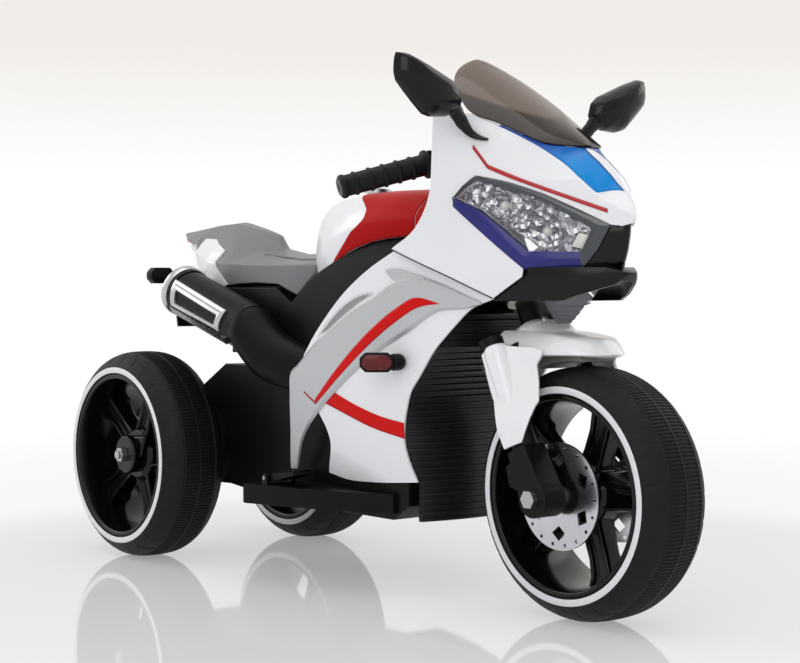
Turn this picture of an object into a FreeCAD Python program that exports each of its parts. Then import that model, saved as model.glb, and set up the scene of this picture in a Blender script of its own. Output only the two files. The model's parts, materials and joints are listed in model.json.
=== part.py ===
import FreeCAD, Part
import math
import os
from FreeCAD import Vector

# Child's three-wheel electric ride-on in the style of a sport motorbike.
# Millimetres. +X forward, +Y to the rider's left, +Z up, origin on the floor under the middle.

# Overall sizes
WHEELBASE = 758.0
WHEEL_RADIUS = 150.0
TYRE_WIDTH = 104.0
REAR_TRACK = 300.0
RAKE = 26.0

# Walls and clearances
SHELL_WALL = 3.0
PANEL_WALL = 3.0
SEAM_GAP = 0.4
RUN_GAP = 0.05
SIDE_GAP = 0.3

# Wheels
TYRE_SEAT_RADIUS = 118.0
TYRE_CROWN_HALF = 20.0
BAND_INNER_RADIUS = 119.5
BAND_OUTER_RADIUS = 127.5
BAND_PROUD = 0.6
RIM_WALL = 7.0
SPOKES = 5
HUB_RADIUS = 28.0
HUB_FACE_REAR = 37.0
HUB_FACE_FRONT = 49.0
AXLE_RADIUS = 6.0
NUT_FLATS = 19.0
NUT_HEIGHT = 8.0
HUB_COLLAR_RADIUS = 40.0
HUB_COLLAR_HALF = 10.0
SPOKE_ROOT = 20.0
SPOKE_WEB_HALF = 7.0
SPOKE_RIB_HALF = 13.0
SPOKE_RIB_OFFSET = 10.0
DISC_RADIUS = 63.0
DISC_THICKNESS = 3.0
DISC_WINDOWS = 6
DISC_WINDOW_RING = 43.0
DISC_HOLES = 18
DISC_HOLE_RING = 57.0
DISC_HOLE_RADIUS = 2.2

# Fork and steering
LEG_Y = 79.0
LEG_RADIUS = 15.0
LEG_HALF_WIDTH = 16.5
CROWN_RISE = 50.0
CROWN_THICKNESS = 7.0
COLUMN_RADIUS = 14.0
HEAD_RISE = 54.0
HEAD_LENGTH = 130.0
BUSH_WALL = 4.5
BUSH_LENGTH = 20.0
BUSH_FLANGE = 3.0
HEAD_WALL = 5.0
BAR_RISE = 55.0
BAR_RADIUS = 11.0
BAR_STRAIGHT_HALF = 88.0
BAR_SWEEP = Vector(-43.0, 104.0, -31.0)
GRIP_RADIUS = 15.5
GRIP_RINGS = 5
GRIP_RING_START = 22.0
GRIP_RING_PITCH = 17.0
GRIP_RING_LENGTH = 11.0
GRIP_RING_PROUD = 2.0
POD_RADIUS = 17.0
POD_FROM = 62.0
POD_TO = 86.0
MUDGUARD_CLEARANCE = 40.0
MUDGUARD_HALF = 61.8
MUDGUARD_REAR_ARC = 28.0
MUDGUARD_FRONT_ARC = 16.0
AXLE_BOSS_RADIUS = 22.0
SHIN_LENGTH = 62.0
FORK_COVER_WIDTH = 40.0
FORK_COVER_LENGTH = 133.0

# Body
HULL_UPPER_HALF = 76.0
HULL_WIDEST_HALF = 88.0
HULL_TYRE_GAP = 10.0
HULL_FLOOR = 98.0
HULL_FRONT_X = 168.0
HEAD_FOOT = (345.0, 448.0)
COWL_FOOT = 372.0
COWL_BELT = 440.0
TANK_WALL = 3.0
TANK_TOP = 521.0
TANK_CAP_RADIUS = 19.0
TANK_CAP_X = -20.0
SEAT_WALL = 6.0
SEAT_SURFACE = 431.0
HUMP_TOP = 492.0
EXHAUST_RADIUS = 34.0
EXHAUST_WALL = 5.0
EXHAUST_Y = 112.0
EXHAUST_START = (-160.0, 336.0)
EXHAUST_LENGTH = 178.0
EXHAUST_TILT = 17.0
RIB_PITCH = 8.0
RIB_HEIGHT = 4.6
RIB_DEPTH = 2.6
RIB_FOOT = 100.0
RIB_COUNT = 33
RIB_CHAMFER = 0.8
WEB_EVERY = 8
WEB_LAST = 24

# Lamps and mirrors
LENS_WALL = 2.6
LENS_DEPTH = 0.3
REFLECTOR_DEPTH = 16.0
SIGNAL_PLACE = (158.0, 301.0)
SIGNAL_STUB = 18.0
SIGNAL_WIDTH = 40.0
SIGNAL_HEIGHT = 24.0
SIGNAL_CORNER = 7.0
TAIL_SIGNAL_PLACE = (-432.0, 432.0)
TAIL_SIGNAL_ROOT = 43.0
TAIL_SIGNAL_REACH = 72.0
MIRROR_X = 256.0
MIRROR_DEPTH = 22.0

# Electrics
SOCKET_RADIUS = 9.0
SOCKET_BORE = 4.0
SOCKET_PLACE = (-128.0, 352.0)
BATTERY_ENDS = (-250.0, -120.0)
BATTERY_HALF = 48.0
BATTERY_HEIGHT = 98.0
BATTERY_FLOOR = 115.4
BOARD_ENDS = (-60.0, 30.0)
BOARD_HALF = 34.0
SPEAKER_PLACE = (70.0, 225.0)
SPEAKER_RADIUS = 34.0

# Drive
MODULE_FINAL = 1.5
MODULE_FIRST = 1.25
PINION_TEETH = 14
WHEEL_GEAR_TEETH = 40
COMPOUND_LARGE_TEETH = 42
COMPOUND_SMALL_TEETH = 14
CENTRE_SLACK = 0.35
TOOTH_BACKLASH = 0.30
PRESSURE_ANGLE = 20.0
FINAL_ANGLE = 15.0
FIRST_ANGLE = 10.0
GEAR_PIN_RADIUS = 4.0
MOTOR_RADIUS = 18.0
MOTOR_LENGTH = 44.0
MOTOR_SHAFT_RADIUS = 2.0
CASE_WALL = 3.0
OUTPUT_BOSS_RADIUS = 14.0
KEY_DEPTH = 6.0

# Footboards, pedal and buttons
FOOT_TOP = 132.0
FOOT_BOTTOM = 107.0
PEDAL_X = -70.0
PEDAL_RISE = 8.0
PEDAL_EDGES = (113.0, 149.0)
PEDAL_PIN_RADIUS = 2.5
DASH_Z = 566.0
DASH_WALL = 4.0
CONTROL_X = 262.0
CONTROL_Y = 34.0
POWER_BUTTON_RADIUS = 11.0
HORN_BUTTON_RADIUS = 6.0
ROCKER_LENGTH = 24.0
ROCKER_WIDTH = 14.0
ROCKER_PIN_RADIUS = 1.5
BUTTON_GAP = 0.35

# The body stations below are drawn for these sizes: a longer wheelbase stretches the middle,
# a larger wheel lifts the body.
DRAWN_WHEELBASE = 758.0
DRAWN_RADIUS = 150.0
MIDDLE_HALF = 60.0

ORIGIN = Vector(0, 0, 0)
ALONG_Y = Vector(0, 1, 0)
SIN_RAKE = math.sin(math.radians(RAKE))
COS_RAKE = math.cos(math.radians(RAKE))
STRETCH = (WHEELBASE - DRAWN_WHEELBASE) / 2
LIFT = (WHEEL_RADIUS - DRAWN_RADIUS) * (1 + COS_RAKE)
FRONT_X = WHEELBASE / 2
REAR_X = -WHEELBASE / 2
AXLE_Z = WHEEL_RADIUS
TYRE_HALF = TYRE_WIDTH / 2
REAR_Y = REAR_TRACK / 2
HULL_LOWER_HALF = min(HULL_WIDEST_HALF, REAR_Y - TYRE_HALF - HULL_TYRE_GAP)
CROWN_D = WHEEL_RADIUS + CROWN_RISE
HEAD_D = CROWN_D + HEAD_RISE
BAR_D = HEAD_D + HEAD_LENGTH + BAR_RISE
HORN_SEAT = BAR_RADIUS + 2.0
HORN_FACE = POD_RADIUS + 3.0
PEDAL_Z = FOOT_TOP + PEDAL_RISE


def station(x):
    return x + STRETCH * max(-1.0, min(1.0, x / MIDDLE_HALF))


def body(points):
    return [(station(x), z + LIFT) for x, z in points]


def rear(points):
    return [(REAR_X + x, AXLE_Z + z) for x, z in points]


def outline(*runs):
    """Closed wire in the side plane: two points make a straight edge, more make a smooth one."""
    edges = []
    for run in runs:
        points = [Vector(x, 0, z) for x, z in run]
        if len(points) == 2:
            edges.append(Part.makeLine(points[0], points[1]))
        else:
            curve = Part.BSplineCurve()
            curve.interpolate(points)
            edges.append(curve.toShape())
    return Part.Wire(edges)


def polygon(points):
    closed = points + points[:1]
    return outline(*[closed[i:i + 2] for i in range(len(points))])


def slab(wire, y_from, y_to):
    face = Part.Face(wire)
    face.translate(Vector(0, y_from, 0))
    return face.extrude(Vector(0, y_to - y_from, 0))


def plan_slab(points, z_from, z_to):
    corners = [Vector(x, y, z_from) for x, y in points]
    return Part.Face(Part.makePolygon(corners + corners[:1])).extrude(Vector(0, 0, z_to - z_from))


def cross_slab(points, x_from, x_to):
    corners = [Vector(x_from, y, z) for y, z in points]
    return Part.Face(Part.makePolygon(corners + corners[:1])).extrude(Vector(x_to - x_from, 0, 0))


def box(x_from, x_to, y_from, y_to, z_from, z_to):
    return Part.makeBox(x_to - x_from, y_to - y_from, z_to - z_from, Vector(x_from, y_from, z_from))


def rod(radius, start, end):
    return Part.makeCylinder(radius, (end - start).Length, start, end - start)


def rod_y(radius, y_from, y_to, x, z):
    return Part.makeCylinder(radius, y_to - y_from, Vector(x, y_from, z), ALONG_Y)


def tube_y(outer, inner, y_from, y_to, x, z):
    return rod_y(outer, y_from, y_to, x, z).cut(rod_y(inner, y_from - 1, y_to + 1, x, z))


def hexagon_y(flats, y_from, y_to, x, z):
    corner = flats / math.sqrt(3)
    turns = [math.radians(60 * i) for i in range(6)]
    wire = polygon([(x + corner * math.cos(a), z + corner * math.sin(a)) for a in turns])
    return slab(wire, y_from, y_to)


def joined(shapes):
    return shapes[0].fuse(shapes[1:]).removeSplitter()


def mirrored(shape):
    return shape.mirror(ORIGIN, ALONG_Y)


def pair(shape):
    return Part.makeCompound([shape, mirrored(shape)])


def inset(wire, depth):
    """The same outline drawn in by a depth, corners kept sharp."""
    return Part.Face(wire).makeOffset2D(-depth, 2).OuterWire


def on_fork(shape):
    """Place a shape drawn upright at the wheel centre on the raked steering axis."""
    shape.rotate(ORIGIN, ALONG_Y, -RAKE)
    shape.translate(Vector(FRONT_X, 0, AXLE_Z))
    return shape


def skin(points, thickness):
    """Panel over a grid of points, thickened along the given direction."""
    surface = Part.BSplineSurface()
    surface.interpolate(points)
    return surface.toShape().extrude(thickness)


# Wheels

def tyre(y_centre, x):
    half = TYRE_HALF
    side = [(128.0, half - 1), (140.0, half - 9), (147.0, half - 20), (DRAWN_RADIUS, TYRE_CROWN_HALF)]
    scale = WHEEL_RADIUS / DRAWN_RADIUS
    curve = [(r * scale, w) for r, w in side]
    seat = TYRE_SEAT_RADIUS * scale
    band = [(seat, half - 2), (BAND_INNER_RADIUS * scale, half - 2)]
    proud = half - 1 + BAND_PROUD
    band += [(BAND_INNER_RADIUS * scale, proud), (BAND_OUTER_RADIUS * scale, proud), curve[0]]
    right = [(w, r) for r, w in band]
    crown = [(w, r) for r, w in curve]
    left = [(-w, r) for w, r in reversed(right)]
    left_crown = [(-w, r) for w, r in reversed(crown)]
    runs = [right[i:i + 2] for i in range(len(right) - 1)] + [crown]
    runs += [[crown[-1], left_crown[0]], left_crown]
    runs += [left[i:i + 2] for i in range(len(left) - 1)] + [[left[-1], right[0]]]
    return revolved(runs, y_centre, x)


def revolved(runs, y_centre, x):
    """Turn a closed outline of (offset along the axle, radius) about the wheel axle."""
    wire = outline(*runs)
    wire.rotate(ORIGIN, Vector(0, 0, 1), 90)
    wire.translate(Vector(x, y_centre, AXLE_Z))
    return Part.Face(wire).revolve(Vector(x, y_centre, AXLE_Z), ALONG_Y, 360)


def rim(y_centre, x, face_low, face_high):
    """Deep-dish rim: barrel, hub with its bore, and spokes of two ribs on a web."""
    seat = TYRE_SEAT_RADIUS * WHEEL_RADIUS / DRAWN_RADIUS - RUN_GAP
    barrel_half = TYRE_HALF - 3.0
    pieces = [tube_y(seat, seat - RIM_WALL, y_centre - barrel_half, y_centre + barrel_half, x, AXLE_Z)]
    pieces.append(rod_y(HUB_RADIUS, y_centre - face_low, y_centre + face_high, x, AXLE_Z))
    collar = (y_centre - HUB_COLLAR_HALF, y_centre + HUB_COLLAR_HALF)
    pieces.append(rod_y(HUB_COLLAR_RADIUS, *collar, x, AXLE_Z))
    reach = seat - RIM_WALL / 2
    for number in range(SPOKES):
        angle = 360 / SPOKES * number
        web = [(SPOKE_ROOT, -17), (reach, -13), (reach, 13), (SPOKE_ROOT, 17)]
        parts = [plan_slab(web, -SPOKE_WEB_HALF, SPOKE_WEB_HALF)]
        for c in (-SPOKE_RIB_OFFSET, SPOKE_RIB_OFFSET):
            rib = [(SPOKE_ROOT, c - 4), (reach, c - 3), (reach, c + 3), (SPOKE_ROOT, c + 4)]
            parts.append(plan_slab(rib, -SPOKE_RIB_HALF, SPOKE_RIB_HALF))
        spoke = joined(parts)
        spoke.rotate(ORIGIN, Vector(1, 0, 0), 90)
        spoke.rotate(ORIGIN, ALONG_Y, 90 + angle)
        spoke.translate(Vector(x, y_centre, AXLE_Z))
        pieces.append(spoke)
    solid = joined(pieces)
    return solid.cut(rod_y(AXLE_RADIUS + RUN_GAP, y_centre - 100, y_centre + 100, x, AXLE_Z))


def brake_disc():
    """Drilled disc bolted to the right face of the front hub."""
    y_inner = -HUB_FACE_FRONT - DISC_THICKNESS
    disc = rod_y(DISC_RADIUS, y_inner, -HUB_FACE_FRONT, FRONT_X, AXLE_Z)
    cuts = [rod_y(AXLE_RADIUS + 6, y_inner - 1, 0, FRONT_X, AXLE_Z)]
    for number in range(DISC_WINDOWS):
        angle = math.radians(360 / DISC_WINDOWS * (number + 0.5))
        cx = FRONT_X + DISC_WINDOW_RING * math.cos(angle)
        cz = AXLE_Z + DISC_WINDOW_RING * math.sin(angle)
        along = (math.cos(angle) * 9, math.sin(angle) * 9)
        across = (-math.sin(angle) * 11, math.cos(angle) * 11)
        rhomb = [(cx + along[0], cz + along[1]), (cx + across[0], cz + across[1])]
        rhomb += [(cx - along[0], cz - along[1]), (cx - across[0], cz - across[1])]
        cuts.append(slab(polygon(rhomb), y_inner - 1, -HUB_FACE_FRONT + 1))
    for number in range(DISC_HOLES):
        angle = math.radians(360 / DISC_HOLES * number)
        cx = FRONT_X + DISC_HOLE_RING * math.cos(angle)
        cz = AXLE_Z + DISC_HOLE_RING * math.sin(angle)
        cuts.append(rod_y(DISC_HOLE_RADIUS, y_inner - 1, -HUB_FACE_FRONT + 1, cx, cz))
    return disc.cut(cuts)


# Fork and steering, drawn upright about the wheel centre: x ahead, z along the steering axis

def fork_leg():
    """Right leg: tube up to the crown, axle boss, and the caliper block beside the disc."""
    inner = LEG_Y - LEG_HALF_WIDTH
    outer = LEG_Y + LEG_HALF_WIDTH
    tube = rod(LEG_RADIUS, Vector(0, -LEG_Y, 0), Vector(0, -LEG_Y, CROWN_D))
    boss = rod_y(AXLE_BOSS_RADIUS, -outer, -inner, 0, 0)
    shin = slab(polygon([(-20, 0), (20, 0), (15, SHIN_LENGTH), (-15, SHIN_LENGTH)]), -outer, -inner)
    disc_face = HUB_FACE_FRONT + DISC_THICKNESS + 1.5
    block = polygon([(-12, 20), (-36, 18), (-54, 34), (-50, 57), (-30, 62), (-12, 58)])
    caliper = slab(block, -inner - 8, -disc_face)
    leg = joined([tube, boss, shin, caliper])
    return on_fork(leg.cut(rod_y(AXLE_RADIUS + RUN_GAP, -outer - 1, -inner + 20, 0, 0)))


def fork_cover():
    """White shell around the upper leg, flared forward to meet the mudguard."""
    inner = MUDGUARD_HALF + SEAM_GAP
    outer = inner + FORK_COVER_WIDTH
    top = CROWN_D - SEAM_GAP
    low = top - FORK_COVER_LENGTH
    rear_edge = [(-19, low + 2), (-24, top - 66), (-25, top - 25), (-10, top)]
    front_edge = [(10, top), (58, top - 36), (55, top - 62), (30, top - 104), (21, low)]
    wire = outline(rear_edge, [rear_edge[-1], front_edge[0]], front_edge, [front_edge[-1], rear_edge[0]])
    shell = slab(wire, -outer, -inner)
    bore = polygon([(-17, low - 5), (-19, top - 66), (-19, top - 26), (-17, top + 5), (17, top + 5),
                    (44, top - 36), (24, top - 100), (17.5, low - 5)])
    return on_fork(shell.cut(slab(bore, -outer + PANEL_WALL, -inner + 1)))


def front_mudguard():
    """Arch over the tyre with a raised cap that covers the crown plate."""
    crest = WHEEL_RADIUS + MUDGUARD_CLEARANCE
    edge = MUDGUARD_HALF
    outer = [(-edge, crest - 22), (-48, crest - 6), (0, crest), (48, crest - 6), (edge, crest - 22)]
    inner = [(edge - 3, crest - 24), (46, crest - 9.5), (0, crest - PANEL_WALL)]
    inner += [(-46, crest - 9.5), (3 - edge, crest - 24)]
    wire = outline(outer, [outer[-1], inner[0]], inner, [inner[-1], outer[0]])
    wire.rotate(ORIGIN, Vector(0, 0, 1), 90)
    arch = Part.Face(wire).revolve(ORIGIN, ALONG_Y, MUDGUARD_REAR_ARC + MUDGUARD_FRONT_ARC)
    arch.rotate(ORIGIN, ALONG_Y, -MUDGUARD_REAR_ARC)
    arch.translate(Vector(FRONT_X, 0, AXLE_Z))
    roof = CROWN_D + CROWN_THICKNESS + SEAM_GAP
    side = [(-14, roof), (-14, roof + 6), (26, roof + 7), (50, crest - 2), (24, crest - 2), (20.6, roof)]
    cap = slab(polygon(side), -40, 40)
    cap = on_fork(cap.cut(rod(COLUMN_RADIUS + 1.5, Vector(0, 0, 0), Vector(0, 0, roof + 20))))
    hollow = Part.makeCylinder(crest - PANEL_WALL, 2 * edge, Vector(FRONT_X, -edge, AXLE_Z), ALONG_Y)
    return joined([arch, cap.cut(hollow)])


def steering_column():
    crown = box(-20, 20, -LEG_Y - LEG_RADIUS, LEG_Y + LEG_RADIUS, CROWN_D, CROWN_D + CROWN_THICKNESS)
    top = BAR_D - BAR_RADIUS - 2
    stem = rod(COLUMN_RADIUS, Vector(0, 0, CROWN_D), Vector(0, 0, top))
    return on_fork(joined([crown, stem]))


def steering_head():
    """Tube that carries the bushes, with a web back to a foot plate on the hull."""
    outer = COLUMN_RADIUS + BUSH_WALL + HEAD_WALL
    bore = COLUMN_RADIUS + BUSH_WALL + RUN_GAP
    tube = on_fork(rod(outer, Vector(0, 0, HEAD_D), Vector(0, 0, HEAD_D + HEAD_LENGTH)))
    hole = on_fork(rod(bore, Vector(0, 0, HEAD_D - 5), Vector(0, 0, HEAD_D + HEAD_LENGTH + 5)))
    web_low = HEAD_D + 12
    web_high = HEAD_D + HEAD_LENGTH - 8
    low = (FRONT_X - web_low * SIN_RAKE, AXLE_Z + web_low * COS_RAKE)
    high = (FRONT_X - web_high * SIN_RAKE, AXLE_Z + web_high * COS_RAKE)
    face = station(HULL_FRONT_X) + SEAM_GAP
    foot_low = HEAD_FOOT[0] + LIFT
    foot_high = HEAD_FOOT[1] + LIFT
    web = slab(polygon([low, high, (face, foot_high), (face, foot_low)]), -10, 10)
    foot = box(face, face + 5, -45, 45, foot_low, foot_high)
    return joined([tube, web, foot]).cut(hole)


def head_bushes():
    inner = COLUMN_RADIUS + RUN_GAP
    outer = COLUMN_RADIUS + BUSH_WALL
    bushes = []
    for start, flange in ((HEAD_D, -1), (HEAD_D + HEAD_LENGTH, 1)):
        sleeve = rod(outer, Vector(0, 0, start), Vector(0, 0, start - flange * BUSH_LENGTH))
        collar = rod(outer + 4, Vector(0, 0, start), Vector(0, 0, start + flange * BUSH_FLANGE))
        hole = rod(inner, Vector(0, 0, start - 60), Vector(0, 0, start + 60))
        bushes.append(on_fork(joined([sleeve, collar]).cut(hole)))
    return Part.makeCompound(bushes)


def bar_centre():
    return Vector(FRONT_X - BAR_D * SIN_RAKE, 0, AXLE_Z + BAR_D * COS_RAKE)


def handlebar():
    """Tube bar, straight in the middle and swept back at the ends, on a clamp over the column."""
    middle = bar_centre()
    right = middle + Vector(0, -BAR_STRAIGHT_HALF, 0)
    left = middle + Vector(0, BAR_STRAIGHT_HALF, 0)
    sweep = Vector(BAR_SWEEP.x, -BAR_SWEEP.y, BAR_SWEEP.z)
    pieces = [rod(BAR_RADIUS, right, left), rod(BAR_RADIUS, right, right + sweep)]
    pieces += [rod(BAR_RADIUS, left, left + BAR_SWEEP)]
    pieces += [Part.makeSphere(BAR_RADIUS, right), Part.makeSphere(BAR_RADIUS, left)]
    clamp = box(-20, 20, -28, 28, BAR_D - 38, BAR_D)
    socket_top = BAR_D - BAR_RADIUS - 2 + RUN_GAP
    socket = rod(COLUMN_RADIUS + RUN_GAP, Vector(0, 0, BAR_D - 60), Vector(0, 0, socket_top))
    pieces.append(on_fork(clamp))
    return joined(pieces).cut(on_fork(socket))


def grip():
    """Left grip: closed at the end, with raised rings."""
    length = BAR_SWEEP.Length
    sleeve = rod(GRIP_RADIUS, Vector(0, 0, 8), Vector(0, 0, length + 4))
    rings = []
    for number in range(GRIP_RINGS):
        start = GRIP_RING_START + GRIP_RING_PITCH * number
        ring_end = start + GRIP_RING_LENGTH
        rings.append(rod(GRIP_RADIUS + GRIP_RING_PROUD, Vector(0, 0, start), Vector(0, 0, ring_end)))
    bore = rod(BAR_RADIUS + RUN_GAP, Vector(0, 0, 0), Vector(0, 0, length + RUN_GAP))
    shape = joined([sleeve] + rings).cut(bore)
    shape.Placement = FreeCAD.Placement(bar_centre() + Vector(0, BAR_STRAIGHT_HALF, 0),
                                        FreeCAD.Rotation(Vector(0, 0, 1), BAR_SWEEP))
    return shape


def switch_pod():
    """Left switch pod around the bar, bored for a button that faces the rider."""
    middle = bar_centre()
    pod = tube_y(POD_RADIUS, BAR_RADIUS + RUN_GAP, POD_FROM, POD_TO, middle.x, middle.z)
    hole = rod(HORN_BUTTON_RADIUS + BUTTON_GAP, horn_place(0), horn_place(POD_RADIUS + 5))
    return pod.cut(hole)


def horn_place(reach):
    return bar_centre() + Vector(-reach, (POD_FROM + POD_TO) / 2, 0)


def horn_button():
    return rod(HORN_BUTTON_RADIUS, horn_place(HORN_SEAT), horn_place(HORN_FACE))


def front_axle():
    """Bolt with its head on the right, nut on the left, and the two spacers beside the discs."""
    outer = LEG_Y + LEG_HALF_WIDTH
    inner = LEG_Y - LEG_HALF_WIDTH
    shank = rod_y(AXLE_RADIUS, -outer - 1, outer + NUT_HEIGHT + 4, FRONT_X, AXLE_Z)
    head = hexagon_y(NUT_FLATS, -outer - NUT_HEIGHT, -outer, FRONT_X, AXLE_Z)
    nut = hexagon_y(NUT_FLATS, outer, outer + NUT_HEIGHT, FRONT_X, AXLE_Z)
    nut = nut.cut(rod_y(AXLE_RADIUS + RUN_GAP, 0, 200, FRONT_X, AXLE_Z))
    disc_face = HUB_FACE_FRONT + DISC_THICKNESS + SIDE_GAP
    spacer = tube_y(AXLE_RADIUS + 4, AXLE_RADIUS + RUN_GAP, -inner, -disc_face, FRONT_X, AXLE_Z)
    return Part.makeCompound([joined([shank, head]), nut, spacer, mirrored(spacer)])


# Rear axle and drive, on the right side

def rear_axle():
    """Fixed axle, its end nuts, and the spacer between the hull and the left hub."""
    start = REAR_Y + HUB_FACE_REAR + SIDE_GAP
    end = start + NUT_HEIGHT + 4
    bar = rod_y(AXLE_RADIUS, -end, end, REAR_X, AXLE_Z)
    hole = rod_y(AXLE_RADIUS + RUN_GAP, -400, 400, REAR_X, AXLE_Z)
    nut = hexagon_y(NUT_FLATS, start, start + NUT_HEIGHT, REAR_X, AXLE_Z).cut(hole)
    hub_face = REAR_Y - HUB_FACE_REAR
    spacer = rod_y(AXLE_RADIUS + 5, HULL_LOWER_HALF + SIDE_GAP, hub_face - SIDE_GAP, REAR_X, AXLE_Z)
    spacer = spacer.cut(hole)
    return Part.makeCompound([bar, nut, mirrored(nut), spacer])


def gear(module, teeth, y_from, y_to, x, z, phase):
    """Spur gear with involute flanks, one tooth centred on the phase angle."""
    pitch = module * teeth / 2
    slant = math.radians(PRESSURE_ANGLE)
    base = pitch * math.cos(slant)
    tip = pitch + 0.85 * module
    root = pitch - 1.15 * module
    half = math.pi / (2 * teeth) - TOOTH_BACKLASH / (2 * pitch)
    start = max(base, root)
    radii = [start + (tip - start) * i / 3 for i in range(4)]
    flank = []
    for radius in radii:
        angle = math.acos(base / radius)
        flank.append((radius, half + math.tan(slant) - slant - math.tan(angle) + angle))
    points = []
    for number in range(teeth):
        middle = math.radians(phase) + 2 * math.pi * number / teeth
        side = flank if root >= base else [(root, flank[0][1])] + flank
        for radius, turn in [(r, -t) for r, t in side] + list(reversed(side)):
            points.append((x + radius * math.cos(middle + turn), z + radius * math.sin(middle + turn)))
    return slab(polygon(points), y_from, y_to)


FINAL_DISTANCE = MODULE_FINAL * (WHEEL_GEAR_TEETH + COMPOUND_SMALL_TEETH) / 2 + CENTRE_SLACK
FIRST_DISTANCE = MODULE_FIRST * (COMPOUND_LARGE_TEETH + PINION_TEETH) / 2 + CENTRE_SLACK
COMPOUND_X = REAR_X + FINAL_DISTANCE * math.cos(math.radians(FINAL_ANGLE))
COMPOUND_Z = AXLE_Z + FINAL_DISTANCE * math.sin(math.radians(FINAL_ANGLE))
PINION_X = COMPOUND_X + FIRST_DISTANCE * math.cos(math.radians(FIRST_ANGLE))
PINION_Z = COMPOUND_Z + FIRST_DISTANCE * math.sin(math.radians(FIRST_ANGLE))
CASE_OUTER_Y = -(HULL_LOWER_HALF - SHELL_WALL - SIDE_GAP)
GEAR_BAY_Y = CASE_OUTER_Y + CASE_WALL
FINAL_GEARS = (GEAR_BAY_Y + 1.5, GEAR_BAY_Y + 10.5)
FIRST_GEARS = (GEAR_BAY_Y + 12.5, GEAR_BAY_Y + 19.5)
LID_Y = GEAR_BAY_Y + 21.5
LID_INNER_Y = LID_Y + CASE_WALL


def output_gear():
    """Wheel gear whose hollow boss carries a cross key into the right rear hub."""
    hub_face = -(REAR_Y - HUB_FACE_REAR)
    disc = gear(MODULE_FINAL, WHEEL_GEAR_TEETH, *FINAL_GEARS, REAR_X, AXLE_Z, FINAL_ANGLE)
    boss = rod_y(OUTPUT_BOSS_RADIUS, hub_face + SIDE_GAP, FINAL_GEARS[0] + 1, REAR_X, AXLE_Z)
    shape = joined([disc, boss] + cross_key(0.0, hub_face))
    return shape.cut(rod_y(AXLE_RADIUS + RUN_GAP, -300, 0, REAR_X, AXLE_Z))


def cross_key(grow, hub_face):
    end = hub_face - KEY_DEPTH - grow
    long = OUTPUT_BOSS_RADIUS - 1 + grow
    thick = 4 + grow
    bars = []
    for dx, dz in ((long, thick), (thick, long)):
        bars.append(box(REAR_X - dx, REAR_X + dx, end, hub_face + 1, AXLE_Z - dz, AXLE_Z + dz))
    return bars


def compound_gear():
    """Small gear that drives the wheel gear, one piece with the large gear driven by the motor."""
    gap_phase = FINAL_ANGLE + 180 + 180 / COMPOUND_SMALL_TEETH
    small = gear(MODULE_FINAL, COMPOUND_SMALL_TEETH, FINAL_GEARS[0], FIRST_GEARS[0] + 1,
                 COMPOUND_X, COMPOUND_Z, gap_phase)
    large = gear(MODULE_FIRST, COMPOUND_LARGE_TEETH, FIRST_GEARS[0], FIRST_GEARS[1],
                 COMPOUND_X, COMPOUND_Z, FIRST_ANGLE)
    return joined([small, large]).cut(rod_y(GEAR_PIN_RADIUS + RUN_GAP, -300, 0, COMPOUND_X, COMPOUND_Z))


def motor_pinion():
    gap_phase = FIRST_ANGLE + 180 + 180 / PINION_TEETH
    teeth = gear(MODULE_FIRST, PINION_TEETH, FIRST_GEARS[0] - 1, FIRST_GEARS[1] + 0.5,
                 PINION_X, PINION_Z, gap_phase)
    shaft = rod_y(MOTOR_SHAFT_RADIUS, FIRST_GEARS[1], LID_INNER_Y + 6, PINION_X, PINION_Z)
    return joined([teeth, shaft])


def gear_room(grow, y_from, y_to):
    """Space around the three gears, as round ends joined by straight walls."""
    ends = [(REAR_X, AXLE_Z, 34 + grow), (COMPOUND_X, COMPOUND_Z, 30 + grow)]
    ends += [(PINION_X, PINION_Z, 14 + grow)]
    pieces = [rod_y(r, y_from, y_to, x, z) for x, z, r in ends]
    for (x0, z0, r0), (x1, z1, r1) in zip(ends, ends[1:]):
        away = math.atan2(z1 - z0, x1 - x0) + math.pi / 2
        dx, dz = math.cos(away), math.sin(away)
        sides = [(x0 + r0 * dx, z0 + r0 * dz), (x1 + r1 * dx, z1 + r1 * dz)]
        sides += [(x1 - r1 * dx, z1 - r1 * dz), (x0 - r0 * dx, z0 - r0 * dz)]
        pieces.append(slab(polygon(sides), y_from, y_to))
    return joined(pieces)


def gearbox_case():
    """Cup around the gears with the fixed pin of the compound gear."""
    cup = gear_room(CASE_WALL, CASE_OUTER_Y, LID_Y).cut(gear_room(0, GEAR_BAY_Y, LID_Y + 1))
    pin = rod_y(GEAR_PIN_RADIUS, CASE_OUTER_Y, LID_Y - SIDE_GAP, COMPOUND_X, COMPOUND_Z)
    boss_hole = rod_y(OUTPUT_BOSS_RADIUS + 0.5, CASE_OUTER_Y - 1, GEAR_BAY_Y + 1, REAR_X, AXLE_Z)
    return joined([cup, pin]).cut(boss_hole)


def gearbox_lid():
    plate = gear_room(CASE_WALL, LID_Y, LID_INNER_Y)
    axle_hole = rod_y(AXLE_RADIUS + RUN_GAP, -300, 0, REAR_X, AXLE_Z)
    shaft_hole = rod_y(MOTOR_SHAFT_RADIUS + SEAM_GAP, -300, 0, PINION_X, PINION_Z)
    return plate.cut([axle_hole, shaft_hole])


def motor():
    can = rod_y(MOTOR_RADIUS, LID_INNER_Y, LID_INNER_Y + MOTOR_LENGTH, PINION_X, PINION_Z)
    nose = rod_y(MOTOR_SHAFT_RADIUS + RUN_GAP, LID_INNER_Y - 1, LID_INNER_Y + 8, PINION_X, PINION_Z)
    return can.cut(nose)


# Body shells

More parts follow.
